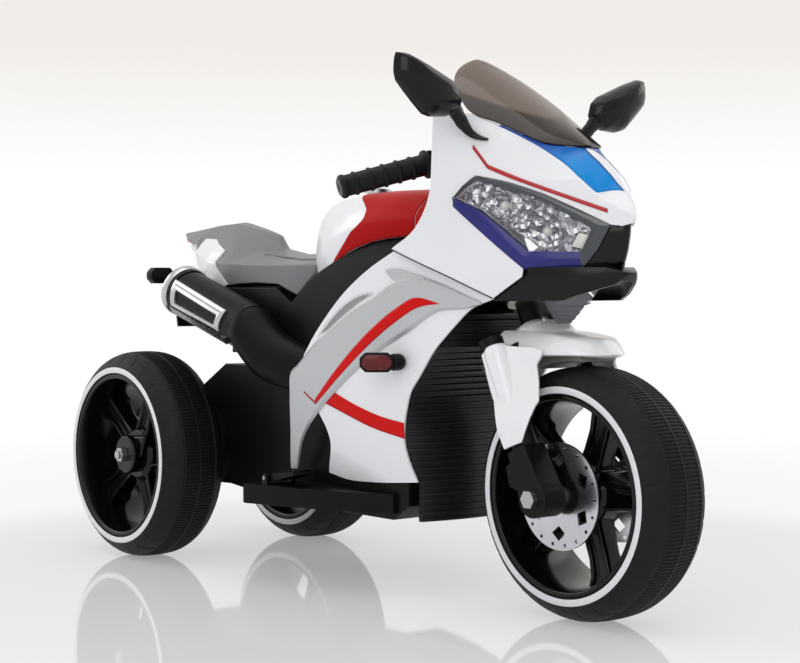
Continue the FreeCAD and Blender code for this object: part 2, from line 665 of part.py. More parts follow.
# Tank sections: station, lower half-width and height, waist, shoulder, top
TANK = [
    (-128, (28, 448), (30, 458), (22, 468), 471),
    (-100, (52, 422), (56, 450), (42, 482), 491),
    (-60, (66, 412), (69, 450), (50, 500), 513),
    (0, (76, 436), (79, 465), (58, 508), 521),
    (60, (81, 452), (84, 478), (62, 508), 521),
    (120, (84, 456), (86, 480), (64, 507), 519),
    (160, (84, 458), (85, 480), (64, 505), 516),
]


def hull_half():
    """Right half of the black hull: an upper spine under seat and tank, and a wider lower body."""
    tank_line = [(x, low[1] - SEAM_GAP) for x, low, waist, shoulder, top in TANK[2:]]
    upper = body([(-262, 300), (-262, 393.4), (-152, 393.4), (-118, 372)] + tank_line +
                 [(HULL_FRONT_X, 445), (HULL_FRONT_X, 300)])
    lower = rear([(-44, -44), (-44, 42), (29, 85)])
    lower += body([(-262, 284), (-160, 284), (-120, 310), (150, 310), (150, HULL_FLOOR + 20)])
    lower += body([(120, HULL_FLOOR), (-100, HULL_FLOOR), (-250, HULL_FLOOR + 14)])
    upper = polygon(upper)
    lower = polygon(lower)
    seam = -SEAM_GAP / 2
    outer = joined([slab(upper, -HULL_UPPER_HALF, seam), slab(lower, -HULL_LOWER_HALF, seam)])
    hollow = [slab(inset(upper, SHELL_WALL), -HULL_UPPER_HALF + SHELL_WALL, 1)]
    hollow.append(slab(inset(lower, SHELL_WALL), -HULL_LOWER_HALF + SHELL_WALL, 1))
    return outer.cut(joined(hollow))


def hull_right():
    """Right half, bored for the output boss of the gearbox."""
    wall = -HULL_LOWER_HALF
    boss = rod_y(OUTPUT_BOSS_RADIUS + 1, wall - 1, wall + SHELL_WALL + 1, REAR_X, AXLE_Z)
    return hull_half().cut(boss)


def hull_left():
    """Left half, bored for the axle and for the charge socket."""
    axle = rod_y(AXLE_RADIUS + RUN_GAP, 0, HULL_LOWER_HALF + 1, REAR_X, AXLE_Z)
    x, z = station(SOCKET_PLACE[0]), SOCKET_PLACE[1] + LIFT
    socket = rod_y(SOCKET_RADIUS + RUN_GAP, 0, HULL_UPPER_HALF + 1, x, z)
    return mirrored(hull_half()).cut([axle, socket])


def charge_socket():
    x, z = station(SOCKET_PLACE[0]), SOCKET_PLACE[1] + LIFT
    barrel = rod_y(SOCKET_RADIUS, HULL_UPPER_HALF - 22, HULL_UPPER_HALF + 1, x, z)
    flange = rod_y(SOCKET_RADIUS + 4, HULL_UPPER_HALF + SIDE_GAP, HULL_UPPER_HALF + 2.5, x, z)
    well = rod_y(SOCKET_BORE, HULL_UPPER_HALF - 14, HULL_UPPER_HALF + 3, x, z)
    return joined([barrel, flange]).cut(well)


def battery():
    floor = BATTERY_FLOOR + LIFT
    start, end = (station(x) for x in BATTERY_ENDS)
    return box(start, end, -BATTERY_HALF, BATTERY_HALF, floor, floor + BATTERY_HEIGHT)


def control_board():
    """Board on four feet, with two relays."""
    floor = HULL_FLOOR + SHELL_WALL + SIDE_GAP + LIFT
    start, end = (station(x) for x in BOARD_ENDS)
    pieces = [box(start, end, -BOARD_HALF, BOARD_HALF, floor + 4, floor + 6)]
    for dx in (2, 70):
        for y in (-32, 26):
            pieces.append(box(start + dx, start + dx + 6, y, y + 6, floor, floor + 4))
    for relay in (start + 14, start + 40):
        pieces.append(box(relay, relay + 20, -20, 8, floor + 6, floor + 22))
    return joined(pieces)


def speaker():
    wall = -HULL_LOWER_HALF + SHELL_WALL + SIDE_GAP
    x, z = station(SPEAKER_PLACE[0]), SPEAKER_PLACE[1] + LIFT
    frame = rod_y(SPEAKER_RADIUS, wall, wall + 5, x, z)
    cone = Part.makeCone(30, 16, 14, Vector(x, wall + 5, z), ALONG_Y)
    magnet = rod_y(20, wall + 19, wall + 30, x, z)
    return joined([frame, cone, magnet])


def fairing_half_width(x, z):
    """Half-width of the side fairing: full amidships, drawn in to the nose and to the floor."""
    to_nose = max(0.0, (x + 20) / 320)
    to_floor = max(0.0, (300 - z) / 155)
    return 127 - 40 * to_nose ** 2 - 26 * to_floor ** 2


def fairing_skin(offset, thickness):
    """Right fairing surface moved out by an offset and thickened inwards."""
    grid = []
    for x in range(-120, 341, 46):
        row = []
        for z in range(120, 471, 35):
            row.append(Vector(station(x), -(fairing_half_width(x, z) + offset), z + LIFT))
        grid.append(row)
    return skin(grid, Vector(0, thickness, 0))


FAIRING_REAR_TOP = [(157, 439), (77, 397), (20, 352), (-17, 310)]
FAIRING_FRONT = [(168, 150), (160, 192), (171, 243), (192, 280), (220, 318), (271, 366)]


def side_fairing():
    """White side panel from the cowl seam down to the footboard."""
    runs = [FAIRING_REAR_TOP, [(-17, 310), (8, 230)], [(8, 230), (22, 199), (5, 150)]]
    runs += [[(5, 150), (39, 145), (85, 144), (168, 150)], FAIRING_FRONT]
    runs += [[(271, 366), (304, 379)], [(304, 379), (157, 439)]]
    wire = outline(*[body(run) for run in runs])
    return fairing_skin(0, PANEL_WALL).common(slab(wire, -200, 0))


def silver_panel():
    """Grey overlay that sweeps from the nose down behind the white panel."""
    runs = [[(144, 413), (201, 407), (264, 385), (288, 373)], [(288, 373), (229, 365)]]
    runs += [[(229, 365), (168, 335), (93, 290), (39, 256), (8, 232), (-35, 191), (-60, 150)]]
    runs += [[(-60, 150), (-76, 149)], [(-76, 149), (-56, 210), (-50, 253), (-45, 282), (-22, 303)]]
    runs += [[(-22, 303), (57, 354), (118, 386), (153, 400)], [(153, 400), (144, 413)]]
    wire = outline(*[body(run) for run in runs])
    return fairing_skin(PANEL_WALL + SIDE_GAP, PANEL_WALL).common(slab(wire, -200, 0))


def radiator_shell():
    """Black ribbed front behind the wheel: a bowed wall of ribs, with webs back to the hull."""
    rings = []
    webs = []
    for number in range(RIB_COUNT):
        z = RIB_FOOT + RIB_PITCH * number
        levels = [(0.0, 0.0), (RIB_CHAMFER, RIB_DEPTH)]
        levels += [(RIB_HEIGHT - RIB_CHAMFER, RIB_DEPTH), (RIB_HEIGHT, 0.0)]
        rings += [bowed_ring(z + rise, proud) for rise, proud in levels]
        if number % WEB_EVERY == 0 and number <= WEB_LAST:
            webs.append(bowed_web(z + RIB_CHAMFER))
    return joined([Part.makeLoft(rings, True, True)] + webs)


def bowed_ring(z, proud):
    """Level outline of the bowed wall, standing proud by a rib's depth."""
    edge_x, edge_y, crest_x = bow(z)
    side = edge_y + proud / 2
    level = z + LIFT
    front = [Vector(edge_x, -side, level), Vector(crest_x + proud, 0, level), Vector(edge_x, side, level)]
    rim_x = edge_x - 7
    rim_y = edge_y - 2
    back = [Vector(rim_x, rim_y, level), Vector(crest_x - 5, 0, level), Vector(rim_x, -rim_y, level)]
    edges = [Part.Arc(*front).toShape(), Part.makeLine(front[2], back[0])]
    edges += [Part.Arc(*back).toShape(), Part.makeLine(back[2], front[0])]
    return Part.Wire(edges)


def bowed_web(z):
    """Flat web from inside the bowed wall back to the front of the hull."""
    edge_x, edge_y, crest_x = bow(z)
    hull_face = station(150) + SIDE_GAP
    side = [(hull_face, 70), (edge_x - 3, edge_y - 8), (crest_x - 2, 20)]
    corners = [(x, -y) for x, y in side] + side[::-1]
    return plan_slab(corners, z + LIFT, z + RIB_HEIGHT - 2 * RIB_CHAMFER + LIFT)


def bow(z):
    """Side edge and crest of the ribbed front at one height, kept behind the fairing edge."""
    if z < 192:
        edge = 168 - 8 * (z - 150) / 42 if z > 150 else 168
    else:
        edge = 160 + 0.0040 * (z - 192) ** 2
    edge = min(edge, 226)
    crest = 180 if z < 262 else min(180 + 0.55 * (z - 262), 236)
    half = fairing_half_width(edge, max(z, 145)) - PANEL_WALL - 1.8
    return station(edge), half, max(station(crest), station(edge) + 4)


# Nose: stations of the cowl with belt half-width, shoulder height, screen edge and ridge height
COWL = [
    (140, 122, 588, (96, 606), 608),
    (200, 121, 588, (96, 606), 608),
    (230, 116, 586, (93, 605), 607),
    (260, 106, 574, (88, 599), 603),
    (300, 90, 553, (70, 583), 590),
    (340, 73, 535, (53, 563), 572),
    (380, 54, 517, (36, 541), 550),
    (410, 37, 501, (25, 514), 522),
    (430, 22, 489, (14, 497), 502),
    (446, 7, 480, (4, 484), 486),
]


def cowl_block(depth):
    """Solid nose drawn in by a depth, skinned over the cowl stations."""
    wires = []
    for x, belt, shoulder, edge, ridge in COWL:
        wide = max(belt - depth, 1.5)
        side = [(wide - min(5, wide / 3), COWL_FOOT), (wide, COWL_BELT)]
        side += [(wide - min(1, wide / 9), shoulder - depth / 2)]
        side += [(max(edge[0] - depth / 2, 0.8), edge[1] - depth)]
        ring = [(y, z) for y, z in side] + [(0, ridge - depth)] + [(-y, z) for y, z in reversed(side)]
        place = station(x) - (depth if x > 440 else 0)
        corners = [Vector(place, y, z + LIFT) for y, z in ring]
        wires.append(Part.makePolygon(corners + corners[:1]))
    return Part.makeLoft(wires, True, True)


HEADLIGHT = [(255, 498), (282, 524), (313, 517), (370, 496), (430, 464), (403, 417), (344, 417)]
HEADLIGHT += [(313, 434), (277, 466)]


def drawn_in(points, margin):
    """Corners of a clockwise outline moved inwards, each along its mitre."""
    moved = []
    for i, (x, z) in enumerate(points):
        before = points[i - 1]
        after = points[(i + 1) % len(points)]
        first = Vector(z - before[1], before[0] - x, 0).normalize()
        second = Vector(after[1] - z, x - after[0], 0).normalize()
        step = (first + second) * (margin / (1 + first.dot(second)))
        moved.append((x + step.x, z + step.y))
    return moved


def headlight_outline(margin=0.0):
    """Headlight opening in the side plane, smaller by a margin all round."""
    ring = drawn_in(HEADLIGHT, margin)
    ring.append(ring[0])
    runs = [ring[0:2], ring[1:5], ring[4:6], ring[5:7], ring[6:10]]
    return outline(*[body(run) for run in runs])


def front_cowl():
    """White nose shell, open behind and under the screen, with an opening for each headlight."""
    rear_edge = [(227, 615), (227, 514), (220, 491), (202, 465), (157, 440)]
    low_edge = [(157, 440), (305, 380), (343, 407), (344, 417), (404, 417), (431, 463), (460, 470)]
    runs = [rear_edge[0:2], rear_edge[1:]]
    runs += [low_edge[i:i + 2] for i in range(len(low_edge) - 1)]
    runs += [[(460, 470), (460, 615)], [(460, 615), (227, 615)]]
    shell = cowl_block(0).cut(cowl_block(PANEL_WALL))
    shell = shell.common(slab(outline(*[body(run) for run in runs]), -200, 200))
    cockpit = [(x, y - 5) for x, y in ((150, 95), (260, 88), (300, 70), (340, 53), (362, 34))]
    cockpit = [(station(x), y) for x, y in cockpit]
    opening = plan_slab(cockpit + [(x, -y) for x, y in reversed(cockpit)], 535 + LIFT, 640 + LIFT)
    return shell.cut([opening, slab(headlight_outline(), -200, 200)])


def nose_skin(depth, thickness):
    """Right flank of the nose drawn in by a depth and thickened inwards."""
    grid = []
    for x, belt, shoulder, edge, ridge in COWL[2:]:
        grid.append([Vector(station(x), depth - belt, z + LIFT) for z in (400, 440, 480, 540)])
    return skin(grid, Vector(0, thickness, 0))


def headlight_lens():
    """Clear right cover, flush with the cowl."""
    return nose_skin(LENS_DEPTH, LENS_WALL).common(slab(headlight_outline(SEAM_GAP), -200, -2))


def headlight_reflector():
    """Right reflector tray behind the cover."""
    depth = LENS_DEPTH + LENS_WALL + SIDE_GAP
    tray = nose_skin(depth, REFLECTOR_DEPTH).common(slab(headlight_outline(2 * SEAM_GAP), -200, -8))
    bowl = nose_skin(depth - 1, REFLECTOR_DEPTH - 3).common(slab(headlight_outline(8), -200, -12))
    return tray.cut(bowl)


def nose_intake():
    """Black intake between the headlights."""
    wire = polygon(body([(404.5, 416.5), (431, 462.4), (440, 462.4), (425, 416.5)]))
    return cowl_block(0.6).common(slab(wire, -60, 60))


def chin_spoiler():
    """Black chin under the headlights, hollow from below."""
    side = polygon(body([(301, 376), (305.6, 379), (344, 406.4), (345, 416), (425, 416), (447, 409),
                         (434, 396), (381, 377)]))
    lip = [(298, 87), (342, 72), (402, 44), (440, 14), (448, 4)]
    ring = [(station(x), y) for x, y in lip]
    block = plan_slab(ring + [(x, -y) for x, y in reversed(ring)], 370 + LIFT, 420 + LIFT)
    hollow = [(x - 4, y - 5) for x, y in ring[:4]]
    room = plan_slab(hollow + [(x, -y) for x, y in reversed(hollow)], 360 + LIFT, 404 + LIFT)
    return block.common(slab(side, -120, 120)).cut(room)


# Screen: station, edge half-width and height, height on the centre line
SCREEN = [
    (371, 6, 557.6, 558.6),
    (350, 46, 560.6, 573.6),
    (320, 60, 574.6, 592.6),
    (296, 70, 586.6, 608.6),
    (262, 84, 601.6, 630.6),
    (235, 78, 622, 648),
    (205, 60, 647, 666),
    (186, 30, 668, 677),
    (181, 8, 677, 679),
]


def windscreen():
    grid = []
    for x, half, low, crest in SCREEN:
        row = []
        for share in (-1.0, -0.75, -0.5, -0.25, 0.0, 0.25, 0.5, 0.75, 1.0):
            row.append(Vector(station(x), half * share, crest - (crest - low) * share ** 2 + LIFT))
        grid.append(row)
    return skin(grid, Vector(1.4, 0, 2.4))


def dashboard():
    """Flat panel across the cowl under the screen, with openings for the controls."""
    plate = box(station(238), station(334), -120, 120, DASH_Z + LIFT, DASH_Z + DASH_WALL + LIFT)
    plate = plate.common(cowl_block(PANEL_WALL + SEAM_GAP))
    x = station(CONTROL_X)
    top = DASH_Z + LIFT
    round_hole = Part.makeCylinder(POWER_BUTTON_RADIUS + BUTTON_GAP, 30, Vector(x, -CONTROL_Y, top - 10))
    half_length = ROCKER_LENGTH / 2 + BUTTON_GAP
    half_width = ROCKER_WIDTH / 2 + BUTTON_GAP
    slot = box(x - half_length, x + half_length, CONTROL_Y - half_width, CONTROL_Y + half_width,
               top - 10, top + 20)
    lugs = []
    for y in (CONTROL_Y - half_width - 3, CONTROL_Y + half_width):
        lugs.append(box(x - 4, x + 4, y, y + 3, top - 8, top + 1))
    pin_holes = rod_y(ROCKER_PIN_RADIUS + RUN_GAP, CONTROL_Y - 30, CONTROL_Y + 30, x, top - 4)
    return joined([plate.cut([round_hole, slot])] + lugs).cut(pin_holes)


def power_button():
    x = station(CONTROL_X)
    top = DASH_Z + DASH_WALL + LIFT
    cap = Part.makeCylinder(POWER_BUTTON_RADIUS, 11, Vector(x, -CONTROL_Y, top - 7))
    collar = Part.makeCylinder(POWER_BUTTON_RADIUS + 2.5, 2.5, Vector(x, -CONTROL_Y, top - 7))
    return joined([cap, collar])


def direction_rocker():
    """Rocker switch on its own pivot pin, high at both ends."""
    x = station(CONTROL_X)
    top = DASH_Z + DASH_WALL + LIFT
    long = ROCKER_LENGTH / 2 - 0.6
    profile = [(x - long, top + 5), (x, top + 2.5), (x + long, top + 5)]
    profile += [(x + 7, top - 11), (x - 7, top - 11)]
    right = CONTROL_Y - ROCKER_WIDTH / 2
    left = CONTROL_Y + ROCKER_WIDTH / 2
    paddle = slab(polygon(profile), right, left)
    pin = rod_y(ROCKER_PIN_RADIUS, right - 3, left + 3, x, top - DASH_WALL - 4)
    return joined([paddle, pin])


def mirror_housing():
    """Right mirror: teardrop housing, stalk and a foot along the cowl shoulder."""
    face = [(-100, 617), (-107, 633), (-150, 650), (-196, 663), (-201, 656), (-200, 637), (-182, 613),
            (-160, 597), (-122, 593), (-104, 602)]
    x = station(MIRROR_X)
    shell = cross_slab([(y, z + LIFT) for y, z in face], x, x + MIRROR_DEPTH)
    recess = [(-112, 612), (-117, 628), (-150, 641), (-190, 654), (-192, 638), (-176, 618), (-156, 604),
              (-124, 600)]
    pocket = cross_slab([(y, z + LIFT) for y, z in recess], x - 1, x + 4)
    low = Vector(station(270), -99, 587 + LIFT)
    stalk = rod(6, low, Vector(station(267), -116, 606 + LIFT))
    foot = rod(5, Vector(station(254), -104, 592.5 + LIFT), Vector(station(288), -90.5, 577 + LIFT))
    return joined([shell.cut(pocket), stalk, foot])


def mirror_glass():
    glass = [(-113.5, 612.5), (-118, 627), (-150, 639.5), (-188.5, 652), (-190.5, 638.5), (-175, 619.5),
             (-155.5, 605.5), (-124.5, 601.5)]
    x = station(MIRROR_X)
    return cross_slab([(y, z + LIFT) for y, z in glass], x + 1, x + 3.6)


def signal_root():
    """Half-width of the fairing where the front signals stand."""
    return fairing_half_width(SIGNAL_PLACE[0] - 8, SIGNAL_PLACE[1] + 6) + SIDE_GAP


def turn_signal_stalks():
    """Stubs that carry the signals: on the fairings in front and on the tail behind."""
    x, z = station(SIGNAL_PLACE[0]), SIGNAL_PLACE[1] + LIFT
    root = signal_root()
    front = box(x - 8, x + 8, -root - SIGNAL_STUB, -root, z - 6, z + 6)
    tail_x, tail_z = station(TAIL_SIGNAL_PLACE[0]), TAIL_SIGNAL_PLACE[1] + LIFT
    rear_stub = rod_y(7, -TAIL_SIGNAL_REACH, -TAIL_SIGNAL_ROOT, tail_x, tail_z)
    return Part.makeCompound([front, mirrored(front), rear_stub, mirrored(rear_stub)])


def turn_signal_lenses():
    """Octagonal lamps at the ends of the stalks."""
    x, z = station(SIGNAL_PLACE[0]), SIGNAL_PLACE[1] + LIFT
    start = signal_root() + SIGNAL_STUB + SIDE_GAP
    wide, half, cut = SIGNAL_WIDTH, SIGNAL_HEIGHT / 2, SIGNAL_CORNER
    face = [(0, cut - half), (0, half - cut), (cut, half), (wide - cut, half), (wide, half - cut)]
    face += [(wide, cut - half), (wide - cut, -half), (cut, -half)]
    front = cross_slab([(-start - y, z + h) for y, h in face], x - 8, x + 9)
    tail_x, tail_z = station(TAIL_SIGNAL_PLACE[0]), TAIL_SIGNAL_PLACE[1] + LIFT
    tail_start = TAIL_SIGNAL_REACH + SIDE_GAP
    rear_lamp = cross_slab([(-tail_start - y, tail_z + h) for y, h in face], tail_x - 8, tail_x + 8)
    return Part.makeCompound([front, mirrored(front), rear_lamp, mirrored(rear_lamp)])


def tank_section(entry, wall, drop):
    x, low, waist, shoulder, top = entry
    side = [(low[0] - wall, low[1] - drop), (waist[0] - wall, waist[1])]
    side += [(shoulder[0] - wall, shoulder[1] - wall / 2)]
    ring = side + [(0, top - wall)] + [(-y, z) for y, z in reversed(side)]
    corners = [Vector(station(x), y, z + LIFT) for y, z in ring]
    return Part.makePolygon(corners + corners[:1])


def tank_cover():
    """White tank shell, open below, with a flat seat bored for the cap."""
    outer = Part.makeLoft([tank_section(entry, 0, 0) for entry in TANK], True, True)
    first, *rest = TANK
    nose_wall = (first[0] + TANK_WALL,) + first[1:]
    end = (TANK[-1][0] + 5,) + TANK[-1][1:]
    stations = [nose_wall] + rest + [end]
    inner = Part.makeLoft([tank_section(entry, TANK_WALL, 8) for entry in stations], True, True)
    return outer.cut([inner, tank_cap_bore()])


def tank_cap_bore():
    foot = Vector(station(TANK_CAP_X), 0, TANK_TOP - 30 + LIFT)
    return Part.makeCylinder(TANK_CAP_RADIUS - 5 + RUN_GAP, 40, foot)


def tank_cap():
    """Round filler cap with a stem in the tank."""
    x = station(TANK_CAP_X)
    top = TANK_TOP + SIDE_GAP + LIFT
    disc = Part.makeCylinder(TANK_CAP_RADIUS, 4, Vector(x, 0, top))
    rim_ring = Part.makeCylinder(TANK_CAP_RADIUS - 3, 1.5, Vector(x, 0, top + 4))
    stem = Part.makeCylinder(TANK_CAP_RADIUS - 5, 12, Vector(x, 0, top - 12))
    return joined([disc, rim_ring, stem])


SEAT_PLAN = [(-88, 56), (-112, 70), (-200, 75), (-300, 74), (-400, 52), (-480, 24), (-494, 8)]


def seat_plan(margin, z_from, z_to):
    ring = [(station(x), y - margin) for x, y in SEAT_PLAN]
    return plan_slab(ring + [(x, -y) for x, y in reversed(ring)], z_from + LIFT, z_to + LIFT)


def seat():
    """Grey moulded seat with a hump that tapers to the tail, hollow below."""
    side = body([(-88, 416), (-111, 380), (-150, 394), (-281, 396), (-300, 401), (-468, 469), (-494, 481),
                 (-400, 493), (-293, 490), (-212, 473), (-196, 438), (-184, SEAT_SURFACE),
                 (-118, SEAT_SURFACE)])
    front_view = [(76, 370), (76, SEAT_SURFACE - 6), (70, SEAT_SURFACE + 2), (36, HUMP_TOP + 3)]
    ring = [(y, z + LIFT) for y, z in front_view]
    envelope = cross_slab(ring + [(-y, z) for y, z in reversed(ring)], station(-500), station(-80))
    solid = slab(polygon(side), -90, 90).common(seat_plan(0, 370, 500)).common(envelope)
    room_half = 75 - SEAT_WALL
    roof = SEAT_SURFACE - SEAT_WALL + LIFT
    pan = box(station(-275), station(-126), -room_half, room_half, 370 + LIFT, roof)
    hump = slab(polygon(body([(-218, 420), (-222, 466), (-295, 480), (-400, 482), (-300, 420)])), -34, 34)
    return solid.cut([pan, hump])


def tail_cowl():
    """White tail under the rear of the seat."""
    side = body([(-262.4, 376), (-262.4, 393), (-281, 395), (-300, 400), (-468, 468), (-486, 466),
                 (-470, 436), (-400, 398), (-330, 376)])
    solid = slab(polygon(side), -90, 90).common(seat_plan(1, 370, 480))
    room = body([(-266, 370), (-266, 386), (-300, 391), (-440, 446), (-452, 440), (-400, 390)])
    hollow = slab(polygon(room), -40, 40)
    return solid.cut(hollow.common(seat_plan(6, 360, 480)))


def tail_light():
    """Red lamp on the blunt end of the tail."""
    face = polygon(body([(-486.4, 465.4), (-494, 462), (-482, 432), (-470.6, 436.2)]))
    return slab(face, -16, 16)


def exhaust_axis(along):
    tilt = math.radians(EXHAUST_TILT)
    x = station(EXHAUST_START[0]) - along * math.cos(tilt)
    return Vector(x, -EXHAUST_Y, EXHAUST_START[1] + LIFT + along * math.sin(tilt))


def exhaust_can():
    """Right can, open at the back, with a pad that bolts to the hull."""
    outer = rod(EXHAUST_RADIUS, exhaust_axis(0), exhaust_axis(EXHAUST_LENGTH))
    end_ring = rod(EXHAUST_RADIUS + 1.5, exhaust_axis(EXHAUST_LENGTH - 14), exhaust_axis(EXHAUST_LENGTH))
    bore = rod(EXHAUST_RADIUS - EXHAUST_WALL, exhaust_axis(4), exhaust_axis(EXHAUST_LENGTH + 5))
    pad_from = station(-254)
    pad_face = -HULL_UPPER_HALF - SIDE_GAP
    pad = box(pad_from, pad_from + 22, -EXHAUST_Y + 20, pad_face, 350 + LIFT, 370 + LIFT)
    inside = rod(EXHAUST_RADIUS - 2, exhaust_axis(1), exhaust_axis(EXHAUST_LENGTH - 1))
    return joined([outer, end_ring, pad.cut(inside)]).cut(bore)


def exhaust_plate():
    """Bright curved plate on the outer face of the right can."""
    outer = rod(EXHAUST_RADIUS + 2.6, exhaust_axis(30), exhaust_axis(EXHAUST_LENGTH - 18))
    inner = rod(EXHAUST_RADIUS + SIDE_GAP, exhaust_axis(20), exhaust_axis(EXHAUST_LENGTH))
    side = box(station(-450), station(-150), -EXHAUST_Y - 60, 10 - EXHAUST_Y - EXHAUST_RADIUS,
               250 + LIFT, 500 + LIFT)
    return outer.cut(inner).common(side)


def plate_bracket():
    """Plain rear plate on an arm under the tail."""
    arm = slab(polygon(body([(-412, 403.6), (-440, 418.8), (-466, 398), (-462, 386)])), -12, 12)
    plate = slab(polygon(body([(-461, 402), (-465, 402), (-452, 334), (-448, 334)])), -50, 50)
    return joined([arm, plate])


# Footboards and pedal

def footboard():
    """Right footboard, hollow from below."""
    inner = HULL_LOWER_HALF + SIDE_GAP
    plan = [(-104, 0), (-96, 82), (-84, 88), (30, 54), (128, 7), (128, 0)]
    ring = [(station(x), -inner - y) for x, y in plan]
    board = plan_slab(ring, FOOT_BOTTOM + LIFT, FOOT_TOP + LIFT)
    room = [(-100, 4), (-92, 78), (-84, 82), (28, 49), (112, 8), (112, 4)]
    room = [(station(x), -inner - y) for x, y in room]
    pocket = plan_slab(room, FOOT_BOTTOM - 5 + LIFT, FOOT_TOP - PANEL_WALL + LIFT)
    return board.cut(pocket)


def footboard_right():
    """Right footboard with the two ears of the pedal."""
    ears = []
    x, z = station(PEDAL_X), PEDAL_Z + LIFT
    for y in (-PEDAL_EDGES[1] - 5, -PEDAL_EDGES[0] + 0.5):
        lug = [rod_y(6, y, y + 4.5, x, z), box(x - 6, x + 6, y, y + 4.5, FOOT_TOP - 1 + LIFT, z)]
        ears.append(joined(lug))
    hole = rod_y(PEDAL_PIN_RADIUS + RUN_GAP, -180, -90, x, z)
    return joined([footboard()] + ears).cut(hole)


def pedal_pin():
    right, left = -PEDAL_EDGES[1] - 6, -PEDAL_EDGES[0] + 6
    return rod_y(PEDAL_PIN_RADIUS, right, left, station(PEDAL_X), PEDAL_Z + LIFT)


def accelerator_pedal():
    """Pedal plate hinged at the heel, raised at the toe, with tread bars."""
    x, z = station(PEDAL_X), PEDAL_Z + LIFT
    profile = [(x, z - 5), (x, z + 5), (x + 58, z + 12), (x + 60, z + 8), (x + 20, z - 2)]
    plate = slab(polygon(profile), -PEDAL_EDGES[1], -PEDAL_EDGES[0])
    barrel = rod_y(5, -PEDAL_EDGES[1], -PEDAL_EDGES[0], x, z)
    slope = math.atan2(7, 58)
    bars = []
    for number in range(5):
        run = 12 + 10 * number
        centre = (x + run, z + 5 + run * math.tan(slope))
        bars.append(rod_y(2, -PEDAL_EDGES[1] + 4, -PEDAL_EDGES[0] - 4, centre[0], centre[1]))
    return joined([plate, barrel] + bars).cut(rod_y(PEDAL_PIN_RADIUS + RUN_GAP, -180, -90, x, z))


def rear_rim_right():
    """Right rim, its hub face slotted for the cross key of the output gear."""
    hub_face = -(REAR_Y - HUB_FACE_REAR)
    return rim(-REAR_Y, REAR_X, HUB_FACE_REAR, HUB_FACE_REAR).cut(cross_key(0.2, hub_face))


NODES = {
    "hull_right": hull_right(),
    "hull_left": hull_left(),
    "radiator_shell": radiator_shell(),
    "footboard_right": footboard_right(),
    "footboard_left": mirrored(footboard()),
    "steering_head": steering_head(),
    "head_bushes": head_bushes(),
    "rear_axle": rear_axle(),
    "gearbox_case": gearbox_case(),
    "gearbox_lid": gearbox_lid(),
    "drive_motor": motor(),
    "battery": battery(),
    "control_board": control_board(),
    "speaker": speaker(),
    "charge_socket": charge_socket(),
    "front_cowl": front_cowl(),
    "windscreen": windscreen(),
    "nose_intake": nose_intake(),
    "chin_spoiler": chin_spoiler(),
    "headlight_lenses": pair(headlight_lens()),
    "headlight_reflectors": pair(headlight_reflector()),
    "side_fairing_right": side_fairing(),
    "side_fairing_left": mirrored(side_fairing()),
    "silver_panels": pair(silver_panel()),
    "turn_signal_stalks": turn_signal_stalks(),
    "turn_signal_lenses": turn_signal_lenses(),
    "tank_cover": tank_cover(),
    "tank_cap": tank_cap(),
    "seat": seat(),
    "tail_cowl": tail_cowl(),
    "tail_light": tail_light(),
    "exhaust_cans": pair(exhaust_can()),
    "exhaust_plates": pair(exhaust_plate()),
    "plate_bracket": plate_bracket(),
    "dashboard": dashboard(),
    "mirror_housings": pair(mirror_housing()),
    "mirror_glasses": pair(mirror_glass()),
    "pedal_pin": pedal_pin(),
    "steering_column": steering_column(),
    "handlebar": handlebar(),
    "grips": pair(grip()),
    "switch_pods": pair(switch_pod()),
    "fork_legs": pair(fork_leg()),
    "fork_covers": pair(fork_cover()),
    "front_mudguard": front_mudguard(),
    "front_axle": front_axle(),
    "front_rim": rim(0.0, FRONT_X, HUB_FACE_FRONT, HUB_FACE_FRONT),
    "front_tyre": tyre(0.0, FRONT_X),
    "brake_discs": pair(brake_disc()),
    "rear_rim_right": rear_rim_right(),
    "rear_rim_left": rim(REAR_Y, REAR_X, HUB_FACE_REAR, HUB_FACE_REAR),
    "rear_tyre_right": tyre(-REAR_Y, REAR_X),
    "rear_tyre_left": tyre(REAR_Y, REAR_X),
    "output_gear": output_gear(),
    "compound_gear": compound_gear(),
    "motor_pinion": motor_pinion(),
    "accelerator_pedal": accelerator_pedal(),
    "power_button": power_button(),
    "direction_rocker": direction_rocker(),
    "horn_button": horn_button(),
}

os.makedirs("parts", exist_ok=True)
for name, shape in NODES.items():
    shape.exportStep("parts/" + name + ".step")
    solids = shape.Solids
    print(name, len(solids), shape.isValid(), round(sum(s.Volume for s in solids) / 1000.0, 1))
print(len(NODES), "nodes")
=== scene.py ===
"""Looks of the three-wheeled ride-on motorbike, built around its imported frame."""

import json
import math

import bpy
import numpy as np
from mathutils import Matrix, Vector


